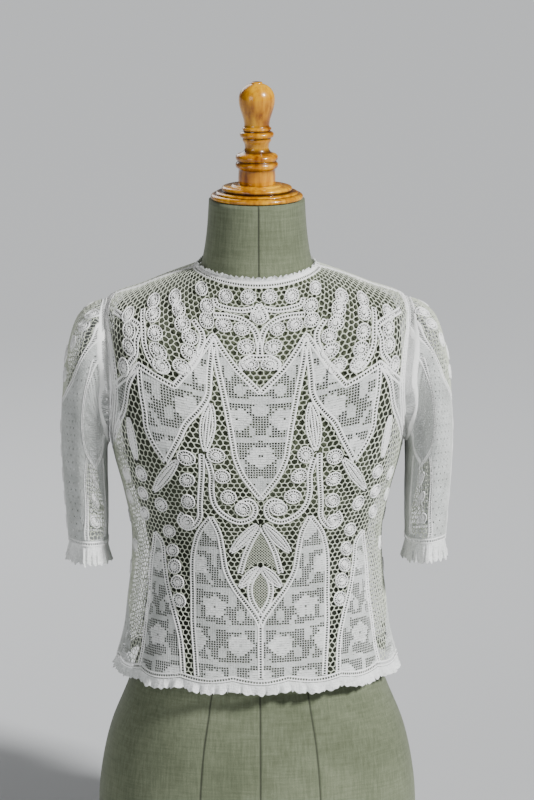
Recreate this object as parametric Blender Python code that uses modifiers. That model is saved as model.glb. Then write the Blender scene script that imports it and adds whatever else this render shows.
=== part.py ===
"""A lace blouse worn on a limbless dress form, at real size, in metres, +Z up.

The origin is the centre of the form's underside. The front faces -Y, and +X is the wearer's left.
Tables and sizes are in millimetres, and MM turns them into metres.
"""

import math

import bmesh
import bpy
import numpy as np
from mathutils import Matrix, Vector
from mathutils.geometry import delaunay_2d_cdt

MM = 0.001

# Driving sizes of the cloth
WALL = 1.3             # lace cloth, tape and filling together
TAPE_RISE = 0.9        # how far the braid tape stands above the cloth
TAPE_HALF = 2.6        # half the width of a braid tape
ROSE_RISE = 1.4        # how far a padded rose stands above the cloth
ROSE_RADIUS = 6.0
ROSE_FOOT = 8.2        # where the rose's rise runs out
SEAM_GAP = 0.3         # between pieces that are sewn together
FRILL_WALL = 1.0
TAPE_STEP = 32.0       # spacing of the points along a tape
GRID_STEP = 33.0       # spacing of the plain points inside a panel
YOKE_STEP = 17.0       # and where the shoulders round over

# Driving sizes of the net: hexagonal gaps between knotted threads
NET_PITCH = 7.4
NET_GAP_RADIUS = 2.9
NET_CLEAR = 2.0        # cloth left between a gap and a tape, rose or edge
NET_RING = 13.9        # only the gaps this near a rose are cut, the largest of each repeat

# Driving sizes of the edges
SCALLOPS = 16          # round the hem
SCALLOP_DROP = 4.0
HEM_FRILL_WAVES = 80
HEM_FRILL_DEPTH = 11.0
HEM_FRILL_WAVE = 1.9
CUFF_FRILL_WAVES = 18
CUFF_FRILL_DEPTH = 22.0
CUFF_FRILL_WAVE = 3.2
NECK_FRILL_WAVES = 24
NECK_FRILL_HEIGHT = 6.0
NECK_FRILL_WAVE = 0.9

# The back fastening, which the front's closed neck makes necessary
BAND_HALF = 6.5
BAND_WALL = 1.0
CENTRE_STEPS = 18      # points along each back's centre edge
BUTTONS = 8            # one at every second step of the band
BUTTON_RADIUS = 4.5
BUTTON_THICK = 2.4

# Sections of the blouse's inner face, from the neckline down. Each is a closed ring whose front, side and
# back points are given: heights z, the front's y, the side's x and y, the back's y, and how square it is.
#   z_front y_front z_side x_side y_side z_back y_back square
BLOUSE_SECTIONS = (
    (696, -62, 703, 66, 2, 712, 60, 2.0),      # neckline
    (668, -76, 694, 96, 3, 694, 76, 2.1),
    (640, -91, 680, 132, 4, 670, 89, 2.3),
    (610, -104, 665, 169, 5, 640, 97, 2.5),    # shoulder tip
    (575, -115, 625, 176, 6, 600, 101, 2.9),
    (535, -124, 565, 174, 6, 555, 101, 2.9),
    (497, -129, 503, 167, 6, 502, 97, 2.5),    # armpit
    (440, -125, 440, 152, 5, 440, 90, 2.2),
    (398, -118, 398, 144, 4, 398, 86, 2.1),
    (350, -114, 350, 145, 4, 350, 88, 2.1),    # waist
    (316, -115, 316, 149, 4, 316, 92, 2.1),
    (276, -119, 276, 154, 4, 276, 98, 2.1),
    (242, -124, 242, 163, 4, 242, 106, 2.1),   # hem
)
SHOULDER_TIP, ARMPIT = 3, 6                    # rows of BLOUSE_SECTIONS
ARMHOLE_REACH = 31.0                           # degrees that the armhole cuts into the front and the back

# Sections of the dress form, from the neck down, in the same columns
FORM_SECTIONS = (
    (780, -53, 780, 54.5, 1, 780, 53, 2.0),
    (735, -56, 736, 58, 1, 740, 56, 2.0),
    (716, -58, 717, 61, 2, 722, 57.5, 2.0),
    (696, -61.5, 703, 65.5, 2, 712, 59.5, 2.0),
    (680.5, -66.4, 694.7, 78.1, 2.5, 700.0, 65.8, 2.0),
    (668, -73.6, 691, 94, 3, 691.5, 73.6, 2.1),
    (640, -88, 677, 129, 4, 667, 86.5, 2.3),
    (610, -101, 661, 156, 5, 637, 94.5, 2.5),
    (575, -110, 630, 164, 5, 598, 97.5, 2.7),
    (535, -117, 580, 164, 5, 550, 97, 2.7),
    (497, -121, 503, 154, 5, 502, 92, 2.4),
    (398, -102, 398, 129, 3, 398, 80, 2.1),
    (350, -92, 350, 122, 2, 350, 80, 2.1),
    (242, -101, 242, 140, 0, 242, 99, 2.1),
    (210, -106, 210, 151, 0, 210, 108, 2.1),
    (160, -112, 160, 171, 0, 160, 121, 2.1),
    (100, -116.5, 100, 183.5, 0, 100, 129, 2.1),
    (18.3, -118, 18.3, 187, 0, 18.3, 132, 2.1),
)
FORM_SIDES = 32

# Turned wood above the neck: radius and height down the outside, from the top
FINIAL_PROFILE = (
    (0, 913.6), (6, 913.1), (6.4, 911.3), (12, 909.4), (18, 903.3), (20.5, 895.9), (19.5, 886.5),
    (15.5, 874.4), (14.1, 866), (14.6, 861.8), (16.4, 860.4), (16.4, 856.2), (19, 853.9), (19, 851.1),
    (16.2, 848.3), (16, 845), (14.6, 840.8), (14.4, 836.2), (16.5, 832), (22.5, 831.1), (24.2, 827.8),
    (22.4, 824.1), (24.4, 820.3), (22.4, 816.6), (21.2, 814.7), (21.2, 797.3), (0, 797.3),
)
CAP_PROFILE = (
    (0, 797), (38, 797), (40.2, 795), (39.4, 791), (48, 790), (52, 788.6), (52.7, 785.5), (51.4, 781),
    (0, 781),
)
BASE_THICK = 18.0
BASE_INSET = 4.0

# Sections of a sleeve below the armhole: its outer and inner edges seen from the front, half its depth
# from front to back, the middle's y, and how much its back hangs below its front
#   x_outer z_outer x_inner z_inner half_depth y_mid drop
SLEEVE_SECTIONS = (
    (187, 657.5, 172.5, 494, 64, 6, 0),
    (206, 640, 173, 478, 65, 6, 0),
    (218, 598, 173, 456, 64, 5, 0),
    (222, 560, 172.5, 441, 62, 4, 1),
    (224, 510, 172.5, 426, 60, 3, 3),
    (222, 460, 172.5, 411, 58, 2, 6),
    (219, 420, 173, 398, 57, 2, 9),
    (217, 390, 173, 386, 56, 2, 12),
)
SLEEVE_SQUARE = 2.6
SLEEVE_FOLDS = 5
SLEEVE_FOLD_RISE = 2.2
SLEEVE_COLUMNS = 12    # over half of a sleeve's round

# Main braid lines of the front, on one half, as x and z seen from the front
YOKE_LINE = (
    (0, 579), (26, 604), (52, 640), (74, 610), (96, 586), (116, 596), (135, 607), (150, 592),
    (161, 580),
)
CENTRE_PANEL_LINE = (
    (52, 636), (46, 600), (40, 573), (35, 548), (31, 524), (28, 507), (20, 488), (10, 474), (0, 461),
)
INNER_PETAL_LINE = ((53, 628), (57, 600), (59, 577), (69, 561), (83, 546), (91, 530), (98, 516), (106, 500))
OUTER_PETAL_LINE = ((135, 603), (133, 580), (129, 555), (127, 537), (119, 519), (106, 500))
SIDE_PETAL_LINE = ((138, 604), (147, 585), (151, 560), (156, 543), (163, 512))
SKIRT_INNER_LINE = (
    (56, 438), (47, 419), (43, 398), (39, 374), (29, 353), (16, 335), (4, 318), (0, 308), (0, 250),
)
SKIRT_OUTER_LINE = ((56, 438), (68, 420), (73, 404), (76, 383), (76, 342), (76, 302), (73, 250))
STRIP_LINE = ((118, 409), (110, 398), (108, 377), (104, 348), (97, 319), (91, 290), (89, 250))
GORE_LINE = ((118, 409), (122, 372), (125, 331), (130, 295), (135, 261), (138, 250))
FRONT_LINES = (
    YOKE_LINE, CENTRE_PANEL_LINE, INNER_PETAL_LINE, OUTER_PETAL_LINE, SIDE_PETAL_LINE,
    SKIRT_INNER_LINE, SKIRT_OUTER_LINE, STRIP_LINE, GORE_LINE,
)
BACK_LINES = (YOKE_LINE[1:], INNER_PETAL_LINE, OUTER_PETAL_LINE, STRIP_LINE)

# Padded roses on one half, as x and z seen from the front
YOKE_ROSES = (
    (18, 624), (13, 603), (22, 646), (45, 652), (0, 660), (88, 646), (84, 613), (118, 640), (138, 634),
)
BODY_ROSES = (
    (50, 511), (83, 507), (43, 487), (82, 481), (36, 463), (81, 455), (82, 430), (20, 449), (102, 440),
)
STRIP_ROSES = ((102, 415), (98, 392), (96, 373), (93, 355), (91, 334))
FRONT_ROSES = YOKE_ROSES + BODY_ROSES + STRIP_ROSES
BACK_ROSES = ((30, 648), (88, 640), (118, 640), (83, 507), (82, 481), (81, 455), (82, 430))

# Net grounds on one half, as outlines of x and z: the gaps are cut only inside these
YOKE_NET = ((0, 583), (26, 608), (46, 634), (40, 660), (0, 668))
YOKE_SIDE_NET = ((60, 632), (78, 612), (97, 590), (114, 598), (110, 640), (70, 655))
BODY_NET = (
    (60, 573), (69, 557), (92, 526), (106, 496), (126, 530), (134, 500), (120, 405), (108, 385),
    (96, 320), (93, 252), (76, 252), (78, 383), (70, 424), (56, 442), (40, 420), (30, 358), (10, 324),
    (0, 316), (0, 455), (20, 484), (33, 510), (38, 548), (50, 600),
)
FRONT_NETS = (YOKE_NET, YOKE_SIDE_NET, BODY_NET)
BACK_BODY_NET = (
    (60, 573), (92, 526), (106, 496), (118, 470), (112, 400), (96, 380), (56, 400), (56, 500),
)
BACK_NETS = (YOKE_SIDE_NET, BACK_BODY_NET)

# Colours of the finishes: red, green, blue, roughness
LACE = (0.86, 0.87, 0.84, 0.9)
LINEN = (0.30, 0.33, 0.25, 0.85)
WOOD = (0.52, 0.24, 0.05, 0.3)
PEARL = (0.85, 0.83, 0.78, 0.35)
BOARD = (0.33, 0.18, 0.08, 0.6)


def clear_scene():
    """Removes whatever the scene holds."""
    for obj in list(bpy.data.objects):
        bpy.data.objects.remove(obj)


def material(name, finish):
    """A plain Principled material for one finish."""
    made = bpy.data.materials.get(name) or bpy.data.materials.new(name)
    made.use_nodes = True
    shader = made.node_tree.nodes["Principled BSDF"]
    shader.inputs["Base Color"].default_value = (*finish[:3], 1)
    shader.inputs["Roughness"].default_value = finish[3]
    return made


def place(mesh, name, finish_name, finish):
    """Puts a mesh in the object's collection as one named piece."""
    mesh.materials.append(material(finish_name, finish))
    mesh.shade_smooth()
    mesh.set_sharp_from_angle(angle=math.radians(40))
    obj = bpy.data.objects.new(name, mesh)
    parts.objects.link(obj)
    return obj


def along_meridian(sections):
    """How far down the front each section lies, and the sections as an array."""
    rows = np.array(sections, float)
    steps = np.hypot(np.diff(rows[:, 0]), np.diff(rows[:, 1]))
    return np.concatenate([[0], np.cumsum(steps)]), rows


def smooth_rows(downs, rows, down):
    """The section at any distance down, on a smooth curve through the table's rows."""
    down = np.asarray(down, float)
    slopes = np.gradient(rows, downs, axis=0)
    i = np.clip(np.searchsorted(downs, down, side="right") - 1, 0, len(downs) - 2)
    h = (downs[i + 1] - downs[i])[..., None]
    s = ((down - downs[i]) / (downs[i + 1] - downs[i]))[..., None]
    return (
        (2 * s**3 - 3 * s**2 + 1) * rows[i]
        + (s**3 - 2 * s**2 + s) * h * slopes[i]
        + (3 * s**2 - 2 * s**3) * rows[i + 1]
        + (s**3 - s**2) * h * slopes[i + 1]
    )


def ring_point(downs, rows, angle, down):
    """A point of a lofted ring body, in millimetres. Angle 0 is the centre front and 90 degrees is +X."""
    c = smooth_rows(downs, rows, down)
    z_front, y_front, z_side, x_side, y_side, z_back, y_back, square = np.moveaxis(c, -1, 0)
    s, k = np.sin(angle), np.cos(angle)
    reach = (np.abs(s) ** square + np.abs(k) ** square) ** (-1 / square)
    depth = np.where(k >= 0, y_side - y_front, y_back - y_side)
    z_centre = np.where(k >= 0, z_front, z_back)
    return np.stack([x_side * reach * s, y_side - depth * reach * k, z_side + (z_centre - z_side) * k**2], -1)


BLOUSE_DOWN, BLOUSE_ROWS = along_meridian(BLOUSE_SECTIONS)
FORM_DOWN, FORM_ROWS = along_meridian(FORM_SECTIONS)
TIP_DOWN, ARMPIT_DOWN = BLOUSE_DOWN[[SHOULDER_TIP, ARMPIT]]
HEM_DOWN = BLOUSE_DOWN[-1]


def blouse_point(angle, down):
    """A point of the blouse's inner face."""
    return ring_point(BLOUSE_DOWN, BLOUSE_ROWS, np.asarray(angle, float), down)


def blouse_normal(angle, down):
    """The outward direction of the blouse at a point."""
    step = 0.01
    across = blouse_point(angle + step, down) - blouse_point(angle - step, down)
    inside = np.clip(down, step * 50, HEM_DOWN - step * 50)
    along = blouse_point(angle, inside + step * 50) - blouse_point(angle, inside - step * 50)
    out = np.cross(along, across)
    return out / np.linalg.norm(out, axis=-1, keepdims=True)


def millimetres_per_radian(down):
    """Roughly how long a radian of a ring is, which makes angles into flat widths."""
    c = smooth_rows(BLOUSE_DOWN, BLOUSE_ROWS, down)
    return 0.5 * (c[..., 3] + c[..., 4] - c[..., 1])


def find(x, z, back=False):
    """The angle and distance down of the blouse point seen at x and z from the front, or from the back."""
    turn = math.pi if back else 0.0
    angle = np.linspace(0, math.pi / 2, 181)[:, None] + 0 * np.zeros((1, 240))
    down = np.linspace(0, HEM_DOWN, 240)[None, :] + 0 * np.zeros((181, 1))
    seen = blouse_point(turn - angle if back else angle, down)
    best = np.argmin((seen[..., 0] - abs(x)) ** 2 + (seen[..., 2] - z) ** 2)
    i, j = np.unravel_index(best, angle.shape)
    return math.copysign(angle[i, j], x), down[i, j]


def to_flat(angle, down):
    """Flat coordinates in millimetres: across from the centre line, and up from the neckline."""
    return np.stack([angle * millimetres_per_radian(down), -np.asarray(down, float)], -1)


def from_flat(flat):
    """The angle and distance down of flat coordinates."""
    flat = np.asarray(flat, float)
    down = np.clip(-flat[..., 1], 0, HEM_DOWN + SCALLOP_DROP)
    return flat[..., 0] / millimetres_per_radian(down), down


def armhole_angle(down):
    """How far round the armhole's edge lies at a height between the shoulder tip and the armpit."""
    share = np.clip((np.asarray(down) - TIP_DOWN) / (ARMPIT_DOWN - TIP_DOWN), 0, 1)
    return math.radians(90) - math.radians(ARMHOLE_REACH) * np.sin(math.pi * share) ** 0.6


def hem_down(angle):
    """The scalloped hem edge."""
    return HEM_DOWN - SCALLOP_DROP + SCALLOP_DROP * np.abs(np.cos(SCALLOPS / 2 * angle))


def resample(points, step):
    """A polyline with points no further apart than the step."""
    points = np.asarray(points, float)
    out = [points[0]]
    for a, b in zip(points[:-1], points[1:]):
        parts_here = max(1, math.ceil(np.linalg.norm(b - a) / step))
        out += [a + (b - a) * k / parts_here for k in range(1, parts_here + 1)]
    return np.array(out)


def half_edge(back):
    """One half's outline in flat coordinates, from the hem's centre round the side to the neck's centre."""
    gap = SEAM_GAP / 2
    centre_gap = gap if back else 0.0
    radius = millimetres_per_radian
    hem_angles = np.arange(0, 24.5) / 24 * math.pi / 2
    edge = [to_flat(a, hem_down(a)) for a in hem_angles]
    edge += [to_flat(math.pi / 2, d) for d in np.linspace(HEM_DOWN, ARMPIT_DOWN, 9)[1:]]
    share = (1 - np.cos(np.linspace(0, math.pi, 15))) / 2
    edge += [to_flat(armhole_angle(d), d) for d in (ARMPIT_DOWN + (TIP_DOWN - ARMPIT_DOWN) * share)[1:]]
    edge += [to_flat(math.pi / 2, d) for d in np.linspace(TIP_DOWN, 0, 6)[1:]]
    edge += [to_flat(a, 0.0) for a in np.linspace(math.pi / 2, 0, 9)[1:]]
    if back:
        edge += [to_flat(0, d) for d in np.linspace(0, HEM_DOWN, CENTRE_STEPS)[1:-1]]
    edge = np.array(edge)
    limit = math.pi / 2 * radius(-edge[:, 1]) - gap
    edge[:, 0] = np.clip(edge[:, 0], centre_gap, limit)
    return edge


def inside(point, polygon):
    """Whether a point lies in a polygon."""
    x, y = point
    hit = False
    for (x0, y0), (x1, y1) in zip(polygon, np.roll(polygon, -1, axis=0)):
        if (y0 > y) != (y1 > y) and x < x0 + (y - y0) * (x1 - x0) / (y1 - y0):
            hit = not hit
    return hit


def distance_to_path(point, path):
    """How far a point lies from a polyline."""
    a, b = path[:-1], path[1:]
    along = b - a
    t = np.clip(((point - a) * along).sum(1) / np.maximum((along**2).sum(1), 1e-9), 0, 1)
    return np.linalg.norm(a + along * t[:, None] - point, axis=1).min()


def flat_path(line, sign, back):
    """A braid line of the table as flat coordinates on one half."""
    return np.array([to_flat(*find(sign * x, z, back)) for x, z in line])


def net_gaps(nets, paths, roses, edge):
    """Hexagonal gaps of the net inside its outlines, clear of the tapes, the roses and the edge."""
    gaps = []
    closed_edge = np.vstack([edge, edge[:1]])
    reach = NET_GAP_RADIUS + NET_CLEAR
    row_step = NET_PITCH * math.sqrt(3) / 2
    low, high = edge.min(0), edge.max(0)
    for row in range(int((high[1] - low[1]) / row_step)):
        for column in range(-30, 31):
            middle = np.array([(column + 0.5 * (row % 2)) * NET_PITCH, high[1] - row * row_step])
            if not any(inside(middle, net) for net in nets) or not inside(middle, edge):
                continue
            if distance_to_path(middle, closed_edge) < reach + 1:
                continue
            if any(distance_to_path(middle, path) < reach + TAPE_HALF for path in paths):
                continue
            nearest = np.linalg.norm(roses - middle, axis=1).min()
            if not reach + ROSE_RADIUS < nearest < NET_RING:
                continue
            turns = np.radians(np.arange(6) * 60 + 30)
            gaps.append(middle + NET_GAP_RADIUS * np.stack([np.cos(turns), np.sin(turns)], -1))
    return gaps


def panel(name, edge, lines, nets, roses, back, signs):
    """One flat-cut piece of the blouse, laid on the body, with its tapes raised and its net cut through."""
    paths = [flat_path(line, sign, back) for line in lines for sign in signs]
    paths = [resample(path, TAPE_STEP) for path in paths]
    rose_spots = {(sign * x, z) for x, z in roses for sign in signs}
    rose_flat = np.array([to_flat(*find(x, z, back)) for x, z in sorted(rose_spots)]).reshape(-1, 2)
    net_flat = [flat_path(net, sign, back) for net in nets for sign in signs]
    gaps = net_gaps(net_flat, paths, rose_flat, edge)

    points, rise, gap_of, edges = [], [], [], []

    def add(new, height=0.0, gap=-1, chain=False, closed=False):
        """Adds points, and edges along them that the triangles have to follow."""
        start = len(points)
        points.extend(map(tuple, new))
        rise.extend([height] * len(new))
        gap_of.extend([gap] * len(new))
        if chain:
            edges.extend((start + i, start + i + 1) for i in range(len(new) - 1))
        if closed:
            edges.append((start + len(new) - 1, start))

    add(edge, chain=True, closed=True)
    edge_count = len(edge)
    for number, gap in enumerate(gaps):
        add(gap, gap=number, chain=True, closed=True)
    turns = np.radians(np.arange(6) * 60)
    petals = np.stack([np.cos(turns), np.sin(turns)], -1)
    add(rose_flat, ROSE_RISE)
    closed_edge = np.vstack([edge, edge[:1]])

    def free(point, clearance):
        """Whether a point is inside the piece and clear of its edge, gaps and roses."""
        if not inside(point, edge) or distance_to_path(point, closed_edge) < clearance:
            return False
        if any(np.linalg.norm(gap - point, axis=1).min() < clearance for gap in gaps):
            return False
        return not len(rose_flat) or np.linalg.norm(rose_flat - point, axis=1).min() > ROSE_RADIUS + clearance

    taken = [point for spot in rose_flat for point in spot + ROSE_FOOT * petals if free(point, 2.0)]
    if taken:
        add(taken)
    for path in paths:
        along = np.gradient(path, axis=0)
        across = np.stack([-along[:, 1], along[:, 0]], -1) / np.linalg.norm(along, axis=1, keepdims=True)
        for side, height in ((0, TAPE_RISE), (-TAPE_HALF, 0.0), (TAPE_HALF, 0.0)):
            for point in path + side * across:
                near = taken and np.linalg.norm(np.array(taken) - point, axis=1).min() < 1.6
                if not near and free(point, 1.5):
                    taken.append(point)
                    add([point], height)
    if back:
        for down in np.linspace(0, HEM_DOWN, CENTRE_STEPS)[1:-1]:
            spot = to_flat(0, down) + [signs[0] * (BAND_HALF + 3), 0]
            if free(spot, 1.0):
                add([spot])
    low, high = edge.min(0), edge.max(0)
    known = np.array(points)
    for step, top, bottom in ((YOKE_STEP, 0, TIP_DOWN), (GRID_STEP, TIP_DOWN, HEM_DOWN)):
        for v in np.arange(-top - step / 2, -bottom, -step):
            for u in np.arange(low[0] + step / 2, high[0], step):
                spot = np.array([u, v])
                if free(spot, 4.0) and np.linalg.norm(known - spot, axis=1).min() > step * 0.55:
                    add([spot])

    loop = list(range(edge_count))
    out = delaunay_2d_cdt([Vector(p) for p in points], edges, [loop], 1, 1e-5)
    flat, triangles, origins = out[0], out[2], out[3]
    source = [origin[0] if origin else -1 for origin in origins]
    kept = []
    for tri in triangles:
        holes = {gap_of[source[i]] if source[i] >= 0 else -1 for i in tri}
        if len(holes) > 1 or holes == {-1}:
            kept.append(tri)
    angle, down = from_flat(np.array([tuple(p) for p in flat]))
    turn = math.pi - angle if back else angle
    solid = blouse_point(turn, down) * MM

    mesh = bpy.data.meshes.new(name)
    faces = [tri[::-1] for tri in kept] if back else kept
    mesh.from_pydata([tuple(p) for p in solid], [], faces)
    obj = place(mesh, name, "lace", LACE)
    thickness = obj.vertex_groups.new(name="thickness")
    full = WALL + max(TAPE_RISE, ROSE_RISE)
    for i, origin in enumerate(source):
        height = rise[origin] if origin >= 0 else 0.0
        thickness.add([i], (WALL + height) / full, "REPLACE")
    shell = obj.modifiers.new("wall", "SOLIDIFY")
    shell.thickness = full * MM
    shell.offset = 1
    shell.vertex_group = "thickness"
    print(name, len(gaps), "gaps,", len(kept), "faces")
    return obj


def mirrored(edge):
    """The whole front's outline from its right half's."""
    other = edge[::-1] * [-1, 1]
    return np.vstack([edge, other[1:-1]])


def loft(name, rings, finish_name, finish, closed=True, thick=0.0):
    """A skin over rings of points, capped where it is closed and otherwise given a thickness."""
    bm = bmesh.new()
    loops = [[bm.verts.new(Vector(p) * MM) for p in ring] for ring in rings]
    count = len(rings[0])
    spans = count if closed or thick < 0 else count - 1
    for upper, lower in zip(loops, loops[1:]):
        for i in range(spans):
            j = (i + 1) % count
            bm.faces.new((upper[i], lower[i], lower[j], upper[j]))
    if closed:
        bm.faces.new(loops[0])
        bm.faces.new(loops[-1][::-1])
    mesh = bpy.data.meshes.new(name)
    bm.to_mesh(mesh)
    bm.free()
    obj = place(mesh, name, finish_name, finish)
    if thick:
        shell = obj.modifiers.new("wall", "SOLIDIFY")
        shell.thickness = abs(thick) * MM
        shell.offset = 1
    return obj


def build_form():
    """The padded torso under the blouse, whole and smooth."""
    angles = np.arange(FORM_SIDES) / FORM_SIDES * 2 * math.pi
    downs = FORM_DOWN
    rings = [ring_point(FORM_DOWN, FORM_ROWS, angles, np.full(FORM_SIDES, down)) for down in downs]
    loft("form_torso", rings, "linen", LINEN)


def build_base():
    """The flat board that closes the form and that it stands on."""
    angles = np.arange(FORM_SIDES) / FORM_SIDES * 2 * math.pi
    foot = ring_point(FORM_DOWN, FORM_ROWS, angles, np.full(FORM_SIDES, FORM_DOWN[-1]))
    middle = foot.mean(0)
    edge = middle + (foot - middle) * (1 - BASE_INSET / 150)
    top, bottom = edge.copy(), edge.copy()
    top[:, 2], bottom[:, 2] = BASE_THICK, 0
    loft("form_base", [top, bottom], "board", BOARD)


def turned(name, profile, steps):
    """A wooden piece turned on a lathe."""
    mesh = bpy.data.meshes.new(name)
    points = [(r * MM, 0, z * MM) for r, z in profile]
    mesh.from_pydata(points, [(i, i + 1) for i in range(len(points) - 1)], [])
    obj = place(mesh, name, "wood", WOOD)
    lathe = obj.modifiers.new("lathe", "SCREW")
    lathe.steps = lathe.render_steps = steps
    lathe.use_merge_vertices = True
    lathe.merge_threshold = 0.0001
    lathe.use_smooth_shade = True
    return obj


def armhole_ring(angles):
    """The sleeve's first ring, just outside the body's armhole edge. Angle 90 degrees is the top."""
    share = (1 - np.sin(angles)) / 2
    down = TIP_DOWN + (ARMPIT_DOWN - TIP_DOWN) * share
    front = np.cos(angles) >= 0
    reach = armhole_angle(down)
    round_angle = np.where(front, reach, math.pi - reach)
    ring = blouse_point(round_angle, down)
    out = blouse_normal(round_angle, down)
    ring[:, 0] += np.maximum(out[:, 0], 0) * WALL + 0.6
    return ring


def sleeve_rings(angles, sections=SLEEVE_SECTIONS):
    """Rings of the wearer's left sleeve, from the armhole to the cuff."""
    rings = [armhole_ring(angles)]
    for number, (xo, zo, xi, zi, depth, y_mid, drop) in enumerate(sections):
        s, k = np.sin(angles), np.cos(angles)
        reach = (np.abs(s) ** SLEEVE_SQUARE + np.abs(k) ** SLEEVE_SQUARE) ** (-1 / SLEEVE_SQUARE)
        grow = 1 + SLEEVE_FOLD_RISE / depth * np.cos(SLEEVE_FOLDS * angles) * number / len(sections)
        x = (xo + xi) / 2 + (xo - xi) / 2 * reach * s
        z = (zo + zi) / 2 + (zo - zi) / 2 * reach * s - drop * (0.5 - 0.5 * reach * k)
        y = y_mid - depth * reach * grow * k
        rings.append(np.stack([x, y, z], -1))
    return rings


def build_sleeve(side, sign):
    """A sleeve's front and back halves, and the frill at its cuff."""
    seam = 0.02
    for half, start in (("front", -math.pi / 2), ("back", math.pi / 2)):
        angles = np.linspace(start + seam / 2, start + math.pi - seam / 2, SLEEVE_COLUMNS)
        rings = [ring * [sign, 1, 1] for ring in sleeve_rings(angles)]
        if sign > 0:
            rings = [ring[::-1] for ring in rings]
        loft(f"sleeve_{side}_{half}", rings, "lace", LACE, closed=False, thick=WALL)
    count = CUFF_FRILL_WAVES * 2
    angles = np.arange(count) / count * 2 * math.pi
    cuff = sleeve_rings(angles)[-1]
    middle = cuff.mean(0)
    out = (cuff - middle) * [1, 1, 0]
    out /= np.linalg.norm(out, axis=1, keepdims=True)
    wave = CUFF_FRILL_WAVE * np.where(np.arange(count) % 2, 1.0, -0.35)[:, None]
    top = cuff - [0, 0, SEAM_GAP + 0.3]
    bottom = cuff - [0, 0, CUFF_FRILL_DEPTH] + out * (3.0 + wave)
    rings = [ring * [sign, 1, 1] for ring in (top, bottom)]
    if sign > 0:
        rings = [ring[::-1] for ring in rings]
    loft(f"cuff_frill_{side}", rings, "lace", LACE, closed=False, thick=-FRILL_WALL)


def build_hem_frill():
    """The gathered edging under the hem, open at the centre back."""
    count = HEM_FRILL_WAVES * 2
    opening = 0.004
    angles = np.linspace(-math.pi + opening, math.pi - opening, count + 1)
    edge = hem_down(angles)
    top = blouse_point(angles, np.minimum(edge, HEM_DOWN)) - [0, 0, 0.7]
    top[:, 2] -= np.maximum(edge - HEM_DOWN, 0)
    out = blouse_normal(angles, np.full(len(angles), HEM_DOWN)) * [1, 1, 0]
    wave = HEM_FRILL_WAVE * np.where(np.arange(count + 1) % 2, 1.0, -0.6)[:, None]
    bottom = top + out * (2.6 + wave) - [0, 0, HEM_FRILL_DEPTH]
    loft("hem_frill", [top, bottom], "lace", LACE, closed=False, thick=FRILL_WALL)


def build_neck_frill():
    """The narrow standing band and its picot edge, open at the centre back."""
    count = NECK_FRILL_WAVES * 2
    opening = 0.008
    angles = np.linspace(-math.pi + opening, math.pi - opening, count + 1)
    bottom = blouse_point(angles, np.zeros(len(angles)))
    bottom[:, 2] += WALL * blouse_normal(angles, np.zeros(len(angles)))[:, 2] + SEAM_GAP + 0.1
    out = bottom * [1, 1, 0] / np.linalg.norm(bottom[:, :2], axis=1, keepdims=True)
    wave = NECK_FRILL_WAVE * np.where(np.arange(count + 1) % 2, 1.0, -0.5)[:, None]
    top = bottom + out * (0.6 + wave) + [0, 0, NECK_FRILL_HEIGHT]
    loft("neck_frill", [top, bottom], "lace", LACE, closed=False, thick=FRILL_WALL)


def build_back_fastening():
    """A band over the centre back edges, with a row of small buttons on it."""
    downs = np.linspace(0, HEM_DOWN, CENTRE_STEPS)
    downs = np.clip(downs, 4, HEM_DOWN - 7)
    lift = WALL + SEAM_GAP + 0.3
    rings = []
    for down in downs:
        across = np.array([-1, -0.33, 0.33, 1]) * BAND_HALF / millimetres_per_radian(down)
        angle = math.pi + across
        spots = blouse_point(angle, np.full(4, down))
        rings.append(spots + blouse_normal(angle, np.full(4, down)) * lift)
    loft("back_band", rings, "lace", LACE, closed=False, thick=BAND_WALL)
    rise = lift + BAND_WALL + SEAM_GAP + 0.1 + BUTTON_THICK / 2
    for number, down in enumerate(downs[1::2][:BUTTONS], 1):
        spot = blouse_point(math.pi, down)
        out = Vector(blouse_normal(math.pi, down))
        bm = bmesh.new()
        bmesh.ops.create_cone(
            bm, cap_ends=True, segments=10, radius1=BUTTON_RADIUS * MM,
            radius2=BUTTON_RADIUS * 0.86 * MM, depth=BUTTON_THICK * MM,
        )
        turn = out.to_track_quat("Z", "Y").to_matrix().to_4x4()
        bm.transform(Matrix.Translation((Vector(spot) + out * rise) * MM) @ turn)
        mesh = bpy.data.meshes.new(f"button_{number}")
        bm.to_mesh(mesh)
        bm.free()
        place(mesh, f"button_{number}", "pearl", PEARL)


def build_body():
    """The front in one piece, and the two backs that meet at the centre back."""
    edge = half_edge(back=False)
    panel("front", mirrored(edge), FRONT_LINES, FRONT_NETS, FRONT_ROSES, False, (1, -1))
    edge = half_edge(back=True)
    for name, sign in (("back_left", 1), ("back_right", -1)):
        own = edge if sign > 0 else edge[::-1] * [-1, 1]
        panel(name, own, BACK_LINES, BACK_NETS, BACK_ROSES, True, (sign,))


clear_scene()
parts = bpy.data.collections.new("lace_blouse_on_dress_form")
bpy.context.scene.collection.children.link(parts)
build_form()
build_base()
turned("neck_cap", CAP_PROFILE, 20)
turned("finial", FINIAL_PROFILE, 12)
build_body()
for sleeve_side, sleeve_sign in (("left", 1), ("right", -1)):
    build_sleeve(sleeve_side, sleeve_sign)
build_hem_frill()
build_neck_frill()
build_back_fastening()
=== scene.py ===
import math

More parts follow.
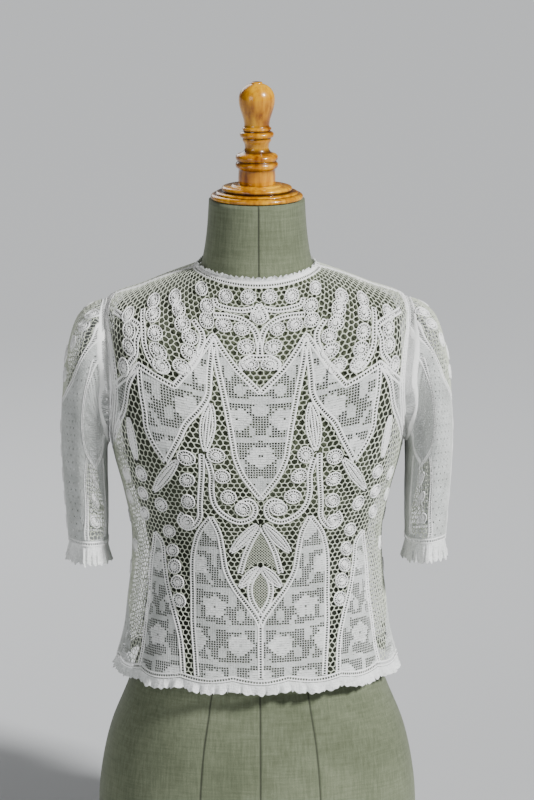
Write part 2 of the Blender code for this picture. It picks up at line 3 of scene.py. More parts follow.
import bpy
import numpy as np
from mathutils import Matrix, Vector


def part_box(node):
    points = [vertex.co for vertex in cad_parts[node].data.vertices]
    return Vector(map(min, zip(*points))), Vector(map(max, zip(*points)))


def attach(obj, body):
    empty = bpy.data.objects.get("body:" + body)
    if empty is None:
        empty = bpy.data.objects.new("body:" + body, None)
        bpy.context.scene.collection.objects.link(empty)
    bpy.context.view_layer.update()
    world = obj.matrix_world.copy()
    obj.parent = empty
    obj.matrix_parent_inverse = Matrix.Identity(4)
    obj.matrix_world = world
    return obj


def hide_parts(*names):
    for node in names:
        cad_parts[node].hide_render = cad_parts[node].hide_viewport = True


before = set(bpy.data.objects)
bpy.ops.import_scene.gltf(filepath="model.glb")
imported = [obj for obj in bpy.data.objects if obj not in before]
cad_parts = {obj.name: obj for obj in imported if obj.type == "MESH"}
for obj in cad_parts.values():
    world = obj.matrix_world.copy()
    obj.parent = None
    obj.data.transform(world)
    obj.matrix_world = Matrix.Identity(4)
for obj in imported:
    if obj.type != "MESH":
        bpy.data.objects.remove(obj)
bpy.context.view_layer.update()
bpy.ops.object.select_all(action="DESELECT")

# %% [markdown]
# ## Camera, light and floor
# The photograph looks at the form from the front, a little from above, through a long lens. A long lens
# from far away keeps the shoulders and the hem at one scale, as they are there.
# %% Set up the camera
def link(name, data):
    """A new object in the scene, made from a camera, a lamp or a mesh."""
    made = bpy.data.objects.new(name, data)
    bpy.context.scene.collection.objects.link(made)
    return made


AZIMUTH, ELEVATION, DISTANCE = math.radians(-2.0), math.radians(12.5), 4.2
camera_data = bpy.data.cameras.new("camera")
camera_data.sensor_fit = "VERTICAL"
camera_data.sensor_height = 24
camera_data.lens = 109.6
camera = link("camera", camera_data)
away = Vector((
    math.sin(AZIMUTH) * math.cos(ELEVATION),
    -math.cos(AZIMUTH) * math.cos(ELEVATION),
    math.sin(ELEVATION),
))
aim = Vector((0.0115, 0.0, 0.546))
camera.location = aim + away * DISTANCE
camera.rotation_euler = (-away).to_track_quat("-Z", "Y").to_euler()
bpy.context.scene.camera = camera
print("camera at", [round(v, 3) for v in camera.location])

# %% [markdown]
# White lace shows its relief only when the light comes more from one side. The main light is broad and far
# away on the upper right, so it also keeps the whole floor evenly pale. A soft lamp fills from the left,
# and another behind lifts the shoulders.
# %% Light the object
LAMP_AIM = Vector((0, 0, 0.5))


def soft_lamp(name, place, size, power):
    """A square area lamp that looks at the middle of the blouse."""
    lamp = bpy.data.lights.new(name, "AREA")
    lamp.size = size
    lamp.energy = power
    holder = link(name, lamp)
    holder.location = place
    holder.rotation_euler = (LAMP_AIM - Vector(place)).to_track_quat("-Z", "Y").to_euler()


soft_lamp("fill_lamp", (-1.7, -2.0, 1.5), 1.1, 16)
soft_lamp("back_lamp", (-0.8, 1.9, 1.7), 1.2, 16)
broad = bpy.data.lights.new("key_lamp", "SUN")
broad.energy, broad.angle = 6.2, math.radians(9)
link("key_lamp", broad).rotation_euler = Vector((2.0, -1.5, 1.7)).to_track_quat("Z", "Y").to_euler()
world = bpy.data.worlds.new("studio")
bpy.context.scene.world = world
world.use_nodes = True
sky = world.node_tree.nodes["Background"].inputs
sky["Color"].default_value, sky["Strength"].default_value = (0.86, 0.88, 0.9, 1), 0.11
print("three lamps and a pale sky")

# %% [markdown]
# The floor is one wide pale plane. From this height it fills the whole background, so no wall is needed.
# %% Lay the floor
bpy.ops.mesh.primitive_plane_add(size=60, location=(0, 0, 0))
floor = bpy.context.object
floor.name = "floor"
floor_finish = bpy.data.materials.new("pale_floor")
floor_finish.use_nodes = True
paint = floor_finish.node_tree.nodes["Principled BSDF"].inputs
paint["Base Color"].default_value, paint["Roughness"].default_value = (0.54, 0.55, 0.56, 1), 0.9
floor.data.materials.append(floor_finish)
bpy.ops.object.select_all(action="DESELECT")
print("floor laid")

# %% [markdown]
# ## Finishes
# Every finish is a Principled shader fed by a few procedural nodes. Two small classes keep the node code
# readable: `Value` lets shader maths be written with + and *, and `Finish` adds any other node.
# %% Shader helpers
class Value:
    """One output socket, with the sums that can be done on it."""

    def __init__(self, finish, socket):
        self.finish, self.socket = finish, socket

    def sum(self, operation, first, second):
        return self.finish.add("ShaderNodeMath", {"operation": operation}, {0: first, 1: second})

    def __add__(self, other):
        return self.sum("ADD", self, other)

    def __mul__(self, other):
        return self.sum("MULTIPLY", self, other)

    __radd__, __rmul__ = __add__, __mul__


class Finish:
    """A material whose constants are on the shader's own sockets."""

    def __init__(self, name, **constants):
        self.material = bpy.data.materials.new(name)
        self.material.use_nodes = True
        self.nodes = self.material.node_tree.nodes
        self.links = self.material.node_tree.links
        self.shader = self.nodes["Principled BSDF"]
        for socket, value in constants.items():
            self.shader.inputs[socket.replace("_", " ")].default_value = value

    def add(self, kind, settings=(), inputs=(), output=0):
        """Adds a node, sets it up, fills or links its sockets, and gives back one of its outputs."""
        node = self.nodes.new(kind)
        for key, value in dict(settings).items():
            if key == "stops":
                ramp = node.color_ramp.elements
                while len(ramp) < len(value):
                    ramp.new(0.5)
                for stop, (place, colour) in zip(ramp, value):
                    stop.position, stop.color = place, (*colour, 1)
            else:
                setattr(node, key, value)
        for key, value in dict(inputs).items():
            self.feed(node.inputs[key], value)
        return Value(self, node.outputs[output])

    def feed(self, socket, value):
        if isinstance(value, Value):
            self.links.new(value.socket, socket)
        else:
            socket.default_value = value

    def noise(self, scale, detail=2.0, stretch=(1, 1, 1)):
        """Even grain in object coordinates, in repeats to the metre."""
        where = self.add("ShaderNodeTexCoord", output="Object")
        where = self.add("ShaderNodeMapping", inputs={"Vector": where, "Scale": stretch})
        inputs = {"Vector": where, "Scale": scale, "Detail": detail}
        return self.add("ShaderNodeTexNoise", inputs=inputs, output="Fac")

    def attribute(self, name):
        """A number that the mesh stores at its points."""
        return self.add("ShaderNodeAttribute", {"attribute_name": name}, output="Fac")

    def ramp(self, share, *stops):
        """A colour from stops of (place, colour)."""
        return self.add("ShaderNodeValToRGB", {"stops": stops}, {"Fac": share})

    def blend(self, share, first, second):
        """A colour between two."""
        colours = {0: share, 6: first, 7: second}
        return self.add("ShaderNodeMix", {"data_type": "RGBA"}, colours, output=2)

    def finish(self, colour=None, roughness=None, height=None, strength=0.3, depth=0.001):
        """Feeds the sockets that may vary."""
        for name, value in (("Base Color", colour), ("Roughness", roughness)):
            if value is not None:
                self.feed(self.shader.inputs[name], value)
        if height is not None:
            sizes = {"Height": height, "Strength": strength, "Distance": depth}
            self.feed(self.shader.inputs["Normal"], self.add("ShaderNodeBump", inputs=sizes, output="Normal"))
        return self.material


# %% [markdown]
# Cotton thread is matt and nearly white, a little creamy where it's old. The twist of the thread is far
# below a millimetre, so it's a fine bump. All five finishes are one cotton, and each kind of thread gets
# its own share of painted shade: the net, filet, darned and padded threads are painted darker than the
# braid, and the net greener, for the linen seen through its thin threads.
# %% Cotton
def cotton(name, light, dark, grain, strength):
    """Matt cotton whose thread shows as a fine bump."""
    made = Finish(name, Roughness=0.88, Sheen_Weight=0.15, Sheen_Roughness=0.5, Specular_IOR_Level=0.25)
    age, thread = made.noise(38, 3), made.noise(grain, 2)
    ramp = made.ramp(age * 0.6 + thread * 0.4, (0.34, dark), (0.62, light))
    return made.finish(colour=ramp, height=thread, strength=strength, depth=0.0006)


BRAID = cotton("braid_cotton", (0.95, 0.95, 0.94), (0.84, 0.85, 0.83), 1500, 0.5)
# Painted shade: the net, filet, darned and padded cottons are darker than the braid, and the net is tinted
# green for the linen behind it.
NET = cotton("net_cotton", (0.66, 0.69, 0.58), (0.48, 0.52, 0.41), 1700, 0.4)
FILET = cotton("filet_cotton", (0.66, 0.68, 0.66), (0.46, 0.48, 0.45), 1900, 0.6)
DARNING = cotton("darned_cotton", (0.66, 0.68, 0.67), (0.42, 0.44, 0.43), 1300, 0.9)
PADDING = cotton("padded_cotton", (0.84, 0.85, 0.84), (0.60, 0.62, 0.60), 1300, 0.9)
LACE = (BRAID, NET, FILET, DARNING, PADDING)
IN_BRAID, IN_NET, IN_FILET, IN_DARNING, IN_PADDING = range(5)
print("cotton finishes:", [finish.name for finish in LACE])

# %% [markdown]
# ## The blouse's surface
# The blouse is a ring body: each section of the table is a closed ring round the form, and a smooth curve
# joins them. The CAD model is lofted from the same table, so the lace laid on this surface lies on the
# solids. Lace is worked flat, so every thread is first drawn in flat millimetres and then laid on the body.
# %% Sections of the blouse and the form, in millimetres
BLOUSE_SECTIONS = (
    (696, -62, 703, 66, 2, 712, 60, 2.0), (668, -76, 694, 96, 3, 694, 76, 2.1),
    (640, -91, 680, 132, 4, 670, 89, 2.3), (610, -104, 665, 169, 5, 640, 97, 2.5),
    (575, -115, 625, 176, 6, 600, 101, 2.9), (535, -124, 565, 174, 6, 555, 101, 2.9),
    (497, -129, 503, 167, 6, 502, 97, 2.5), (440, -125, 440, 152, 5, 440, 90, 2.2),
    (398, -118, 398, 144, 4, 398, 86, 2.1), (350, -114, 350, 145, 4, 350, 88, 2.1),
    (316, -115, 316, 149, 4, 316, 92, 2.1), (276, -119, 276, 154, 4, 276, 98, 2.1),
    (242, -124, 242, 163, 4, 242, 106, 2.1),
)
FORM_SECTIONS = (
    (780, -53, 780, 54.5, 1, 780, 53, 2.0), (735, -56, 736, 58, 1, 740, 56, 2.0),
    (716, -58, 717, 61, 2, 722, 57.5, 2.0), (696, -61.5, 703, 65.5, 2, 712, 59.5, 2.0),
    (680.5, -66.4, 694.7, 78.1, 2.5, 700.0, 65.8, 2.0), (668, -73.6, 691, 94, 3, 691.5, 73.6, 2.1),
    (640, -88, 677, 129, 4, 667, 86.5, 2.3), (610, -101, 661, 156, 5, 637, 94.5, 2.5),
    (575, -110, 630, 164, 5, 598, 97.5, 2.7), (535, -117, 580, 164, 5, 550, 97, 2.7),
    (497, -121, 503, 154, 5, 502, 92, 2.4), (398, -102, 398, 129, 3, 398, 80, 2.1),
    (350, -92, 350, 122, 2, 350, 80, 2.1), (242, -101, 242, 140, 0, 242, 99, 2.1),
    (210, -106, 210, 151, 0, 210, 108, 2.1), (160, -112, 160, 171, 0, 160, 121, 2.1),
    (100, -116.5, 100, 183.5, 0, 100, 129, 2.1), (18.3, -118, 18.3, 187, 0, 18.3, 132, 2.1),
)


def along_front(sections):
    """How far down the front each section lies, and the sections as an array."""
    rows = np.array(sections, float)
    steps = np.hypot(np.diff(rows[:, 0]), np.diff(rows[:, 1]))
    return np.concatenate([[0], np.cumsum(steps)]), rows


def between(stations, rows, where):
    """The rows at any place between their stations, on a smooth curve."""
    where = np.asarray(where, float)
    slopes = np.gradient(rows, stations, axis=0)
    i = np.clip(np.searchsorted(stations, where, side="right") - 1, 0, len(stations) - 2)
    wide = stations[i + 1] - stations[i]
    s = (where - stations[i]) / wide
    tail = (None,) * (rows.ndim - 1)
    s, wide = s[(...,) + tail], wide[(...,) + tail]
    return (
        (2 * s**3 - 3 * s**2 + 1) * rows[i] + (s**3 - 2 * s**2 + s) * wide * slopes[i]
        + (3 * s**2 - 2 * s**3) * rows[i + 1] + (s**3 - s**2) * wide * slopes[i + 1]
    )


def ring_point(stations, rows, angle, down):
    """A point of a ring body. Angle 0 is the centre front, and a quarter turn is the wearer's left."""
    ring = np.moveaxis(between(stations, rows, down), -1, 0)
    z_front, y_front, z_side, x_side, y_side, z_back, y_back, square = ring
    s, k = np.sin(angle), np.cos(angle)
    reach = (np.abs(s) ** square + np.abs(k) ** square) ** (-1 / square)
    depth = np.where(k >= 0, y_side - y_front, y_back - y_side)
    z_middle = np.where(k >= 0, z_front, z_back)
    return np.stack([x_side * reach * s, y_side - depth * reach * k, z_side + (z_middle - z_side) * k**2], -1)


BLOUSE_DOWN, BLOUSE_ROWS = along_front(BLOUSE_SECTIONS)
FORM_DOWN, FORM_ROWS = along_front(FORM_SECTIONS)
TIP, ARMPIT, HEM = BLOUSE_DOWN[[3, 6, 12]]
print("neck to hem along the front", round(HEM, 1), "mm")

# %% [markdown]
# Flat places are written as (across, up) from the centre of the neckline. The front and the back are two
# such charts, each seen from outside. The sleeve is a third, measured up from its cuff.
# %% Charts of the body
QUARTER = math.pi / 2
BODY_MIDDLE = 4.0


def around(down):
    """How many millimetres a radian of the blouse's ring has."""
    ring = between(BLOUSE_DOWN, BLOUSE_ROWS, down)
    return 0.5 * (ring[..., 3] + ring[..., 4] - ring[..., 1])


def soft_folds(angle, down):
    """How far the loose lower edge stands out in soft folds, in millimetres."""
    loose = np.clip((down - 330) / (HEM - 330), 0, 1) ** 1.5
    return loose * (1.3 * np.cos(9 * angle + 0.6) + 0.8 * np.cos(14 * angle - 0.9) - 0.3)


def unit(vectors):
    """The same directions, each one long."""
    return vectors / np.maximum(np.linalg.norm(vectors, axis=1, keepdims=True), 1e-9)


def level_out(points, y_middle=0.0):
    """Level directions away from an upright line in the middle plane."""
    return unit((points - [0, y_middle, 0]) * [1, 1, 0])


def body_place(flat, middle):
    """A flat place on the body, in a chart whose centre line is at an angle."""
    down = np.clip(-flat[:, 1], 0, HEM + 5)
    angle = middle + flat[:, 0] / around(down)
    place = ring_point(BLOUSE_DOWN, BLOUSE_ROWS, angle, down)
    place = place + level_out(place, BODY_MIDDLE) * soft_folds(angle, down)[:, None]
    place[:, 2] += np.clip(flat[:, 1], 0, 20)
    return place


def front_place(flat):
    """A flat place of the front on the body."""
    return body_place(flat, 0.0)


def back_place(flat):
    """A flat place of the back on the body, seen from behind."""
    return body_place(flat, math.pi)


def outward(place, flat, step=0.4):
    """The direction out of the cloth at flat places."""
    right = place(flat + [step, 0]) - place(flat - [step, 0])
    up = place(flat + [0, step]) - place(flat - [0, step])
    return unit(np.cross(right, up))


def lay(place, points):
    """Flat points with a height above the cloth, laid on the body, in metres."""
    flat = points[:, :2]
    return (place(flat) + outward(place, flat) * points[:, 2:3]) * 0.001


def look_up(place, width, top, bottom):
    """A finder: the flat place that shows at x and z from the front or the back."""
    u, v = np.meshgrid(np.linspace(0, width, 200), np.linspace(top, bottom, 300), indexing="ij")
    seen = place(np.stack([u.ravel(), v.ravel()], -1))

    def found(x, z):
        best = np.argmin((np.abs(seen[:, 0]) - abs(x)) ** 2 + (seen[:, 2] - z) ** 2)
        spot = np.array([u.ravel()[best], v.ravel()[best]])
        for _ in range(4):
            tries = place(spot + np.array([[0, 0], [0.5, 0], [0, 0.5]]))
            tries = np.stack([np.abs(tries[:, 0]), tries[:, 2]], -1)
            slope = (tries[1:] - tries[0]).T / 0.5
            if abs(np.linalg.det(slope)) < 0.05:
                break
            move = np.linalg.solve(slope, [abs(x) - tries[0, 0], z - tries[0, 1]])
            spot = spot + np.clip(move, -2, 2)
        return np.array([math.copysign(abs(spot[0]), x) if x else 0.0, spot[1]])

    return found


find_front = look_up(front_place, 245, 0, -HEM)
find_back = look_up(back_place, 245, 0, -HEM)
print("shoulder peak on the flat front", find_front(52, 640).round(1))

# %% [markdown]
# ## Working the lace
# Real lace of this kind is made in steps: a braid is tacked along the drawing, roses are crocheted, and
# then the ground is worked between them. The helpers below follow those steps. Each one returns points
# (across, up, height) and faces, and `Work` gathers them into one mesh.
# %% Gather threads into a mesh
class Work:
    """The points and faces of one piece of lace."""

    def __init__(self):
        self.points, self.faces, self.finishes, self.count = [], [], [], 0

    def add(self, points, faces, finish=IN_BRAID):
        self.points.append(np.asarray(points, float).reshape(-1, 3))
        self.faces.append(np.asarray(faces, int) + self.count)
        self.finishes.append(np.full(len(faces), finish, np.int32))
        self.count += len(self.points[-1])

    def piece(self, name, place, *finishes, slot="lace", turned=False):
        """Lays the work on the body as one object."""
        faces = [face for block in self.faces for face in (block[:, ::-1] if turned else block).tolist()]
        mesh = bpy.data.meshes.new(name)
        mesh.from_pydata(lay(place, np.vstack(self.points)), [], faces)
        mesh.shade_smooth()
        for finish in finishes:
            mesh.materials.append(finish)
        mesh.polygons.foreach_set("material_index", np.concatenate(self.finishes))
        made = link(name, mesh)
        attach(made, "root")
        triangles = sum(len(face) - 2 for face in faces)
        area = sum(polygon.area for polygon in mesh.polygons)
        print(name, triangles, "triangles,", round(area, 4), "square metres")
        return made


def leftward(along):
    """Flat directions a quarter turn to the left, each one long."""
    along = unit(along)
    return np.stack([-along[:, 1], along[:, 0]], -1)


def bars(first, last, half, low, high):
    """Straight threads between pairs of flat places, each a little roof."""
    side = leftward(last - first) * half
    ends = [first - side, first, first + side, last - side, last, last + side]
    heights = [low, high, low, low, high, low]
    points = np.stack([np.column_stack([end, np.full(len(end), h)]) for end, h in zip(ends, heights)], 1)
    start = np.arange(len(first))[:, None] * 6
    faces = np.vstack([start + [0, 3, 4, 1], start + [1, 4, 5, 2]])
    return points, faces


def ribbons(first, last, half, height):
    """Straight flat threads between pairs of flat places. The height may be a pair, one for each end."""
    side = leftward(last - first) * half
    ends = [first - side, last - side, last + side, first + side]
    height = np.broadcast_to(height, (2, len(first))) if np.ndim(height) < 2 else height
    points = np.stack([np.column_stack([end, height[far]]) for end, far in zip(ends, (0, 1, 1, 0))], 1)
    return points, np.arange(len(first))[:, None] * 4 + [0, 1, 2, 3]


def grid_faces(rows, columns):
    """Quads between the rows of a grid of points."""
    first = (np.arange(rows - 1)[:, None] * columns + np.arange(columns - 1)).reshape(-1, 1)
    return first + [0, columns, columns + 1, 1]


def sweep(path, offsets, heights):
    """A profile drawn along a path: offsets to the left of it, and heights above the cloth."""
    along = np.gradient(path, axis=0)
    if np.allclose(path[0], path[-1]):
        along[0] = along[-1] = path[1] - path[-2]
    offsets = np.broadcast_to(offsets, (len(path), np.shape(offsets)[-1]))
    heights = np.broadcast_to(heights, offsets.shape)
    flat = path[:, None] + leftward(along)[:, None] * offsets[..., None]
    return np.concatenate([flat, heights[..., None]], -1), grid_faces(*offsets.shape)


# %% [markdown]
# The braid tape has a row of pinholes along its middle: two thread bands joined by rungs. Its outer edges
# waver a little from stitch to stitch, which a perfectly straight edge would lose.
# %% Braid tape
chance = np.random.default_rng(7)


def smooth(points):
    """A curve through the points of a drawing."""
    points = np.asarray(points, float)
    p = np.vstack([2 * points[[0]] - points[[1]], points, 2 * points[[-1]] - points[[-2]]])
    t = np.linspace(0, 1, 12, endpoint=False)[:, None]
    out = []
    for a, b, c, d in zip(p[:-3], p[1:-2], p[2:-1], p[3:]):
        bend, twist = 2 * a - 5 * b + 4 * c - d, 3 * b - a - 3 * c + d
        out.append(0.5 * (2 * b + (c - a) * t + bend * t**2 + twist * t**3))
    return np.vstack(out + [points[-1:]])


def even(path, step):
    """The same path with points at even distances."""
    path = np.asarray(path, float)
    far = np.concatenate([[0], np.cumsum(np.linalg.norm(np.diff(path, axis=0), axis=1))])
    count = max(2, round(far[-1] / step) + 1)
    return np.stack([np.interp(np.linspace(0, far[-1], count), far, path[:, k]) for k in (0, 1)], -1)


def tape(work, path, half=3.1, pitch=2.9, rise=1.5, hole=1.2):
    """A ladder of braid along a flat path: half its width, and half the width of its holes."""
    low = 0.5
    spots = even(path, pitch / 2)
    waver = chance.normal(0, 0.09, (len(spots), 2)) + 0.13 * np.cos(np.arange(len(spots)) * math.pi)[:, None]
    for sign in (-1, 1):
        edge = half + waver[:, (sign + 1) // 2]
        offsets = np.stack([0 * edge + hole, 0 * edge + (half + hole) / 2, edge], -1) * sign
        heights = np.array([low + 0.1, rise, low - 0.2])
        if sign < 0:
            offsets, heights = offsets[:, ::-1], heights[::-1]
        work.add(*sweep(spots, offsets, heights))
    side = leftward(np.gradient(spots, axis=0))[::2] * (hole + 0.15)
    work.add(*ribbons(spots[::2] - side, spots[::2] + side, pitch * 0.16, low + 0.15))


def cord(work, path):
    """A plain round edge thread along a flat path, 2 mm wide."""
    work.add(*sweep(even(path, 2.0), np.array([-1.0, 0, 1.0]), np.array([0.3, 1.5, 0.3])))


# %% [markdown]
# A rose is a spiral of braid: it goes once round with its ladder open, which leaves a ring of slits, and
# then coils tightly into a padded heart. The net stops ROSE_REACH from its middle, under the outer braid.
# It's made once and laid again at each place, turned and sized.
# %% Crochet rose
def rose_shape():
    """Points (across, up, height) and faces of one rose, 15 mm wide."""
    shape = Work()

    def coil(turns, radius, offsets, heights):
        path = np.stack([radius * np.cos(turns), radius * np.sin(turns)], -1)
        shape.add(*sweep(path, np.array(offsets), np.array(heights)))

    def outer(turns):
        return 5.75 - 0.05 * turns

    turns = np.linspace(-0.25, 2 * math.pi + 0.1, 21)
    coil(turns, outer(turns), (-1.9, -1.45, -0.9), (0.3, 2.1, 0.9))
    coil(turns, outer(turns), (1.2, 1.7, 2.3), (0.8, 2.1, 0.8))
    rungs = np.linspace(0, 2 * math.pi, 17)[:-1]
    way, reach = np.stack([np.cos(rungs), np.sin(rungs)], -1), outer(rungs)[:, None]
    shape.add(*ribbons(way * (reach - 1.4), way * (reach + 1.1), 0.36, 1.0))
    turns = np.linspace(0.1, 2 * math.pi * 0.95, 13)
    coil(turns, 2.9 - 0.26 * turns, (-0.85, 0, 0.85), (1.0, 2.3, 1.0))
    turns = np.linspace(0, 2 * math.pi, 9)
    coil(turns, 0.75 + 0 * turns, (-0.5, 0.1, 0.74), (1.2, 2.1, 2.4))
    return np.vstack(shape.points), np.vstack(shape.faces)


ROSE_POINTS, ROSE_FACES = rose_shape()
ROSE_REACH, ROSE_SIZE, ROSE_LIFT = 7.3, 1.14, 0.3


def roses(work, spots):
    """Roses at flat places, each turned and a little oval."""
    for spot in spots:
        turn = chance.uniform(0, 2 * math.pi)
        long, wide = ROSE_SIZE * chance.uniform(0.97, 1.1), ROSE_SIZE * chance.uniform(0.88, 1.0)
        k, s = math.cos(turn), math.sin(turn)
        flat = ROSE_POINTS[:, :2] @ np.array([[k, s], [-s, k]])
        lean = chance.uniform(0, math.pi)
        axis = np.array([math.cos(lean), math.sin(lean)])
        flat = flat * wide + np.outer(flat @ axis, axis) * (long - wide)
        work.add(np.column_stack([flat + spot, ROSE_POINTS[:, 2] + ROSE_LIFT]), ROSE_FACES)
    print("rose of", len(ROSE_FACES), "faces laid", len(spots), "times")


# %% [markdown]
# The net is a ground of six-sided loops, a little uneven because it's worked by hand. The filet is a
# square mesh with some of its squares darned full, which draws stepped flowers and leaves.
# %% Net and filet grounds
CELL, TILE_WIDE, TILE_HIGH = 2.7, 46, 44
NET_CLEAR, LEAF_CLEAR, FILET_CLEAR = 2.3, 3.6, 1.7


def inside(points, outline):
    """Which points lie inside an outline."""
    x, y = points[:, 0], points[:, 1]
    hit = np.zeros(len(points), bool)
    for (x0, y0), (x1, y1) in zip(outline, np.roll(outline, -1, axis=0)):
        if y0 != y1:
            hit ^= ((y0 > y) != (y1 > y)) & (x < x0 + (y - y0) * (x1 - x0) / (y1 - y0))
    return hit


def off(spots, gap):
    """A test for flat places: whether they are further than a gap from every spot."""
    def test(flat):
        keep = np.ones(len(flat), bool)
        for start in range(0, len(flat), 2000):
            near = ((flat[start:start + 2000, None] - spots) ** 2).sum(-1).min(1)
            keep[start:start + 2000] = near > gap**2
        return keep

    return test


def clear_of(paths, gap):
    """The same test for a gap from every path."""
    return off(np.vstack([even(path, 1.2) for path in paths]), gap)


def every(*tests):
    """A test that asks several in turn, each only about the places that have passed so far."""
    def test(flat):
        keep = np.ones(len(flat), bool)
        for ask in tests:
            keep[keep] = ask(flat[keep])
        return keep

    return test


def net_threads(low, high, pitch=6.1):
    """Pairs of flat places that the net's threads join, over a rectangle."""
    row = pitch * math.sqrt(3) / 2
    across, up = np.meshgrid(
        np.arange(math.floor(low[0] / pitch) - 1, math.ceil(high[0] / pitch) + 2),
        np.arange(math.floor(low[1] / row) - 1, math.ceil(high[1] / row) + 2),
    )
    middle = np.stack([(across + 0.5 * (up % 2)) * pitch, up * row], -1).reshape(-1, 2)
    turns = np.radians([30, 90, 150, 210])
    corners = middle[:, None] + pitch / math.sqrt(3) * np.stack([np.cos(turns), np.sin(turns)], -1)
    x, y = corners[..., 0], corners[..., 1]
    corners = corners + 0.42 * np.stack([
        np.sin(1.9 * x + 0.7 * y) + np.sin(0.31 * x - 0.53 * y),
        np.sin(1.3 * y - 2.3 * x) + np.sin(0.43 * y + 0.37 * x),
    ], -1)
    return corners[:, :3].reshape(-1, 2), corners[:, 1:].reshape(-1, 2)


def net(work, keep, threads):
    """The threads of a net whose middles keep() allows."""
    first, last = threads
    use = keep((first + last) / 2)
    work.add(*bars(first[use], last[use], 0.52, 0.35, 1.0), IN_NET)


def figure(flat, shift=0.0):
    """How a filet square is worked: 0 open, 1 darned as a leaf or band, 2 padded as a flower head.

    One flower with its stem, its leaves and a band fills a tile, and the rows of tiles are staggered.
    """
    flat = np.abs(flat) * [1, 0] + flat * [0, 1]
    u, v = flat[:, 0] + shift, flat[:, 1] + 2.5 * np.sin(flat[:, 0] / 17)
    row = np.floor(v / TILE_HIGH)
    u = u + TILE_WIDE / 2 * (row % 2)
    column = np.floor(u / TILE_WIDE)
    x = (u % TILE_WIDE) - TILE_WIDE / 2 + 2 * np.sin(3 * row + column)
    y = (v % TILE_HIGH) - 20 + 2 * np.cos(2 * row - column)
    far, turn = np.hypot(x, y), np.arctan2(y, x)
    edge = 11.5 * (1 + 0.1 * np.cos(5 * turn + row + column))
    head = (far < edge) & (far > 1.5)
    leaf = ((x + 19) / 4.2) ** 2 + ((y - 10) / 9) ** 2 < 1
    leaf |= ((x - 18) / 4.6) ** 2 + ((y + 9) / 7) ** 2 < 1
    band = np.abs(y - 20) < 3.4
    stem = (np.abs(x - 0.35 * y + 9) < 2.6) & (y < -9)
    rough = 0.5 + 0.5 * np.sin(91.7 * np.floor(flat[:, 0] / CELL) + 47.3 * np.floor(flat[:, 1] / CELL))
    soft = (far < edge * 1.22) & (rough > 0.72)
    return np.where(head, 2, np.where(leaf | band | stem | soft, 1, 0))


def filet(work, keep, low, high, worked=figure):
    """Square mesh over a rectangle where keep() allows it, with its figures darned."""
    across = np.arange(math.floor(low[0] / CELL), math.ceil(high[0] / CELL) + 1) * CELL
    up = np.arange(math.floor(low[1] / CELL), math.ceil(high[1] / CELL) + 1) * CELL
    spots = np.stack(np.meshgrid(across, up), -1).reshape(-1, 2)
    x, y = spots.T
    waver = 0.2 * np.stack([np.sin(0.9 * y + 0.3 * x), np.sin(0.8 * x - 0.4 * y)], -1)
    for step, low_edge, crest in (((CELL, 0), 0.5, 0.85), ((0, CELL), 0.6, 0.95)):
        use = keep(spots + np.array(step) / 2)
        start, end = (spots + waver)[use], (spots + waver + step)[use]
        work.add(*bars(start, end, 0.36, low_edge, crest), IN_FILET)
    middle = spots + CELL / 2
    kind, allowed = worked(middle), keep(middle)
    edge = np.array([CELL / 2, 0])
    for level, height, finish in ((1, 0.6, IN_DARNING), (2, 1.0, IN_PADDING)):
        use = middle[allowed & (kind == level)]
        lift = height + chance.uniform(-0.22, 0.22, (2, len(use)))
        wide = CELL / 2 * chance.uniform(0.6, 1.0, (len(use), 1))
        work.add(*ribbons(use - edge, use + edge, wide, lift), finish)
    print("darned", int((allowed & (kind > 0)).sum()), "of", int(allowed.sum()), "squares")


def fine_mesh(work, keep, low, high, cell=2.3):
    """Thin threads crossed on the slant."""
    slant, count = 0.7071, int(max(high - low) / cell)
    i, j = np.meshgrid(np.arange(-count, count), np.arange(-count, count))
    spots = np.stack([i + j, i - j], -1).reshape(-1, 2) * cell * slant + (low + high) / 2
    for step in ((slant, slant), (slant, -slant)):
        move = np.array(step) * cell
        use = keep(spots + move / 2)
        work.add(*bars(spots[use], spots[use] + move, 0.27, 0.5, 0.9), IN_NET)


def cut(test, low, high, step=3.0):
    """The width and length, and the area, of the flat cut that a test describes, in metres."""
    across, up = np.arange(low[0], high[0], step), np.arange(low[1], high[1], step)
    spots = np.stack(np.meshgrid(across, up), -1).reshape(-1, 2)
    spots = spots[test(spots)]
    size, area = (np.ptp(spots, axis=0) + step) * 0.001, len(spots) * (step * 0.001) ** 2
    print("cut", size.round(3), "m, area", round(area, 4), "square metres")
    return {"flat": (float(size[0]), float(size[1])), "area": float(area)}


print("a rose, a net and a filet ground are ready")

# %% [markdown]
# ## The front
# The drawing of the front, in millimetres as x and z seen from the front. Only the wearer's left half is
# written down, because the lace is the same on both sides of the centre line.
# %% The front's drawing
YOKE_LINE = (
    (0, 579), (26, 604), (52, 640), (74, 610), (96, 586), (116, 596), (135, 607), (150, 592), (161, 580))
CENTRE_PANEL = (
    (52, 636), (46, 600), (40, 573), (35, 548), (31, 524), (28, 507), (20, 488), (10, 474), (0, 461))
INNER_PETAL = ((53, 628), (57, 600), (59, 577), (69, 561), (83, 546), (91, 530), (98, 516), (106, 500))
OUTER_PETAL = ((135, 603), (133, 580), (129, 555), (127, 537), (119, 519), (106, 500))
SIDE_PETAL = ((138, 604), (147, 585), (151, 560), (156, 543), (163, 512))
SKIRT_INNER = ((56, 438), (47, 419), (43, 398), (39, 374), (29, 353), (16, 335), (4, 318), (0, 308), (0, 250))
SKIRT_OUTER = ((56, 438), (68, 420), (73, 404), (76, 383), (76, 342), (76, 302), (73, 250))
STRIP = ((118, 409), (110, 398), (108, 377), (104, 348), (97, 319), (91, 290), (89, 250))
GORE = ((118, 409), (122, 372), (125, 331), (130, 295), (135, 261), (138, 250))
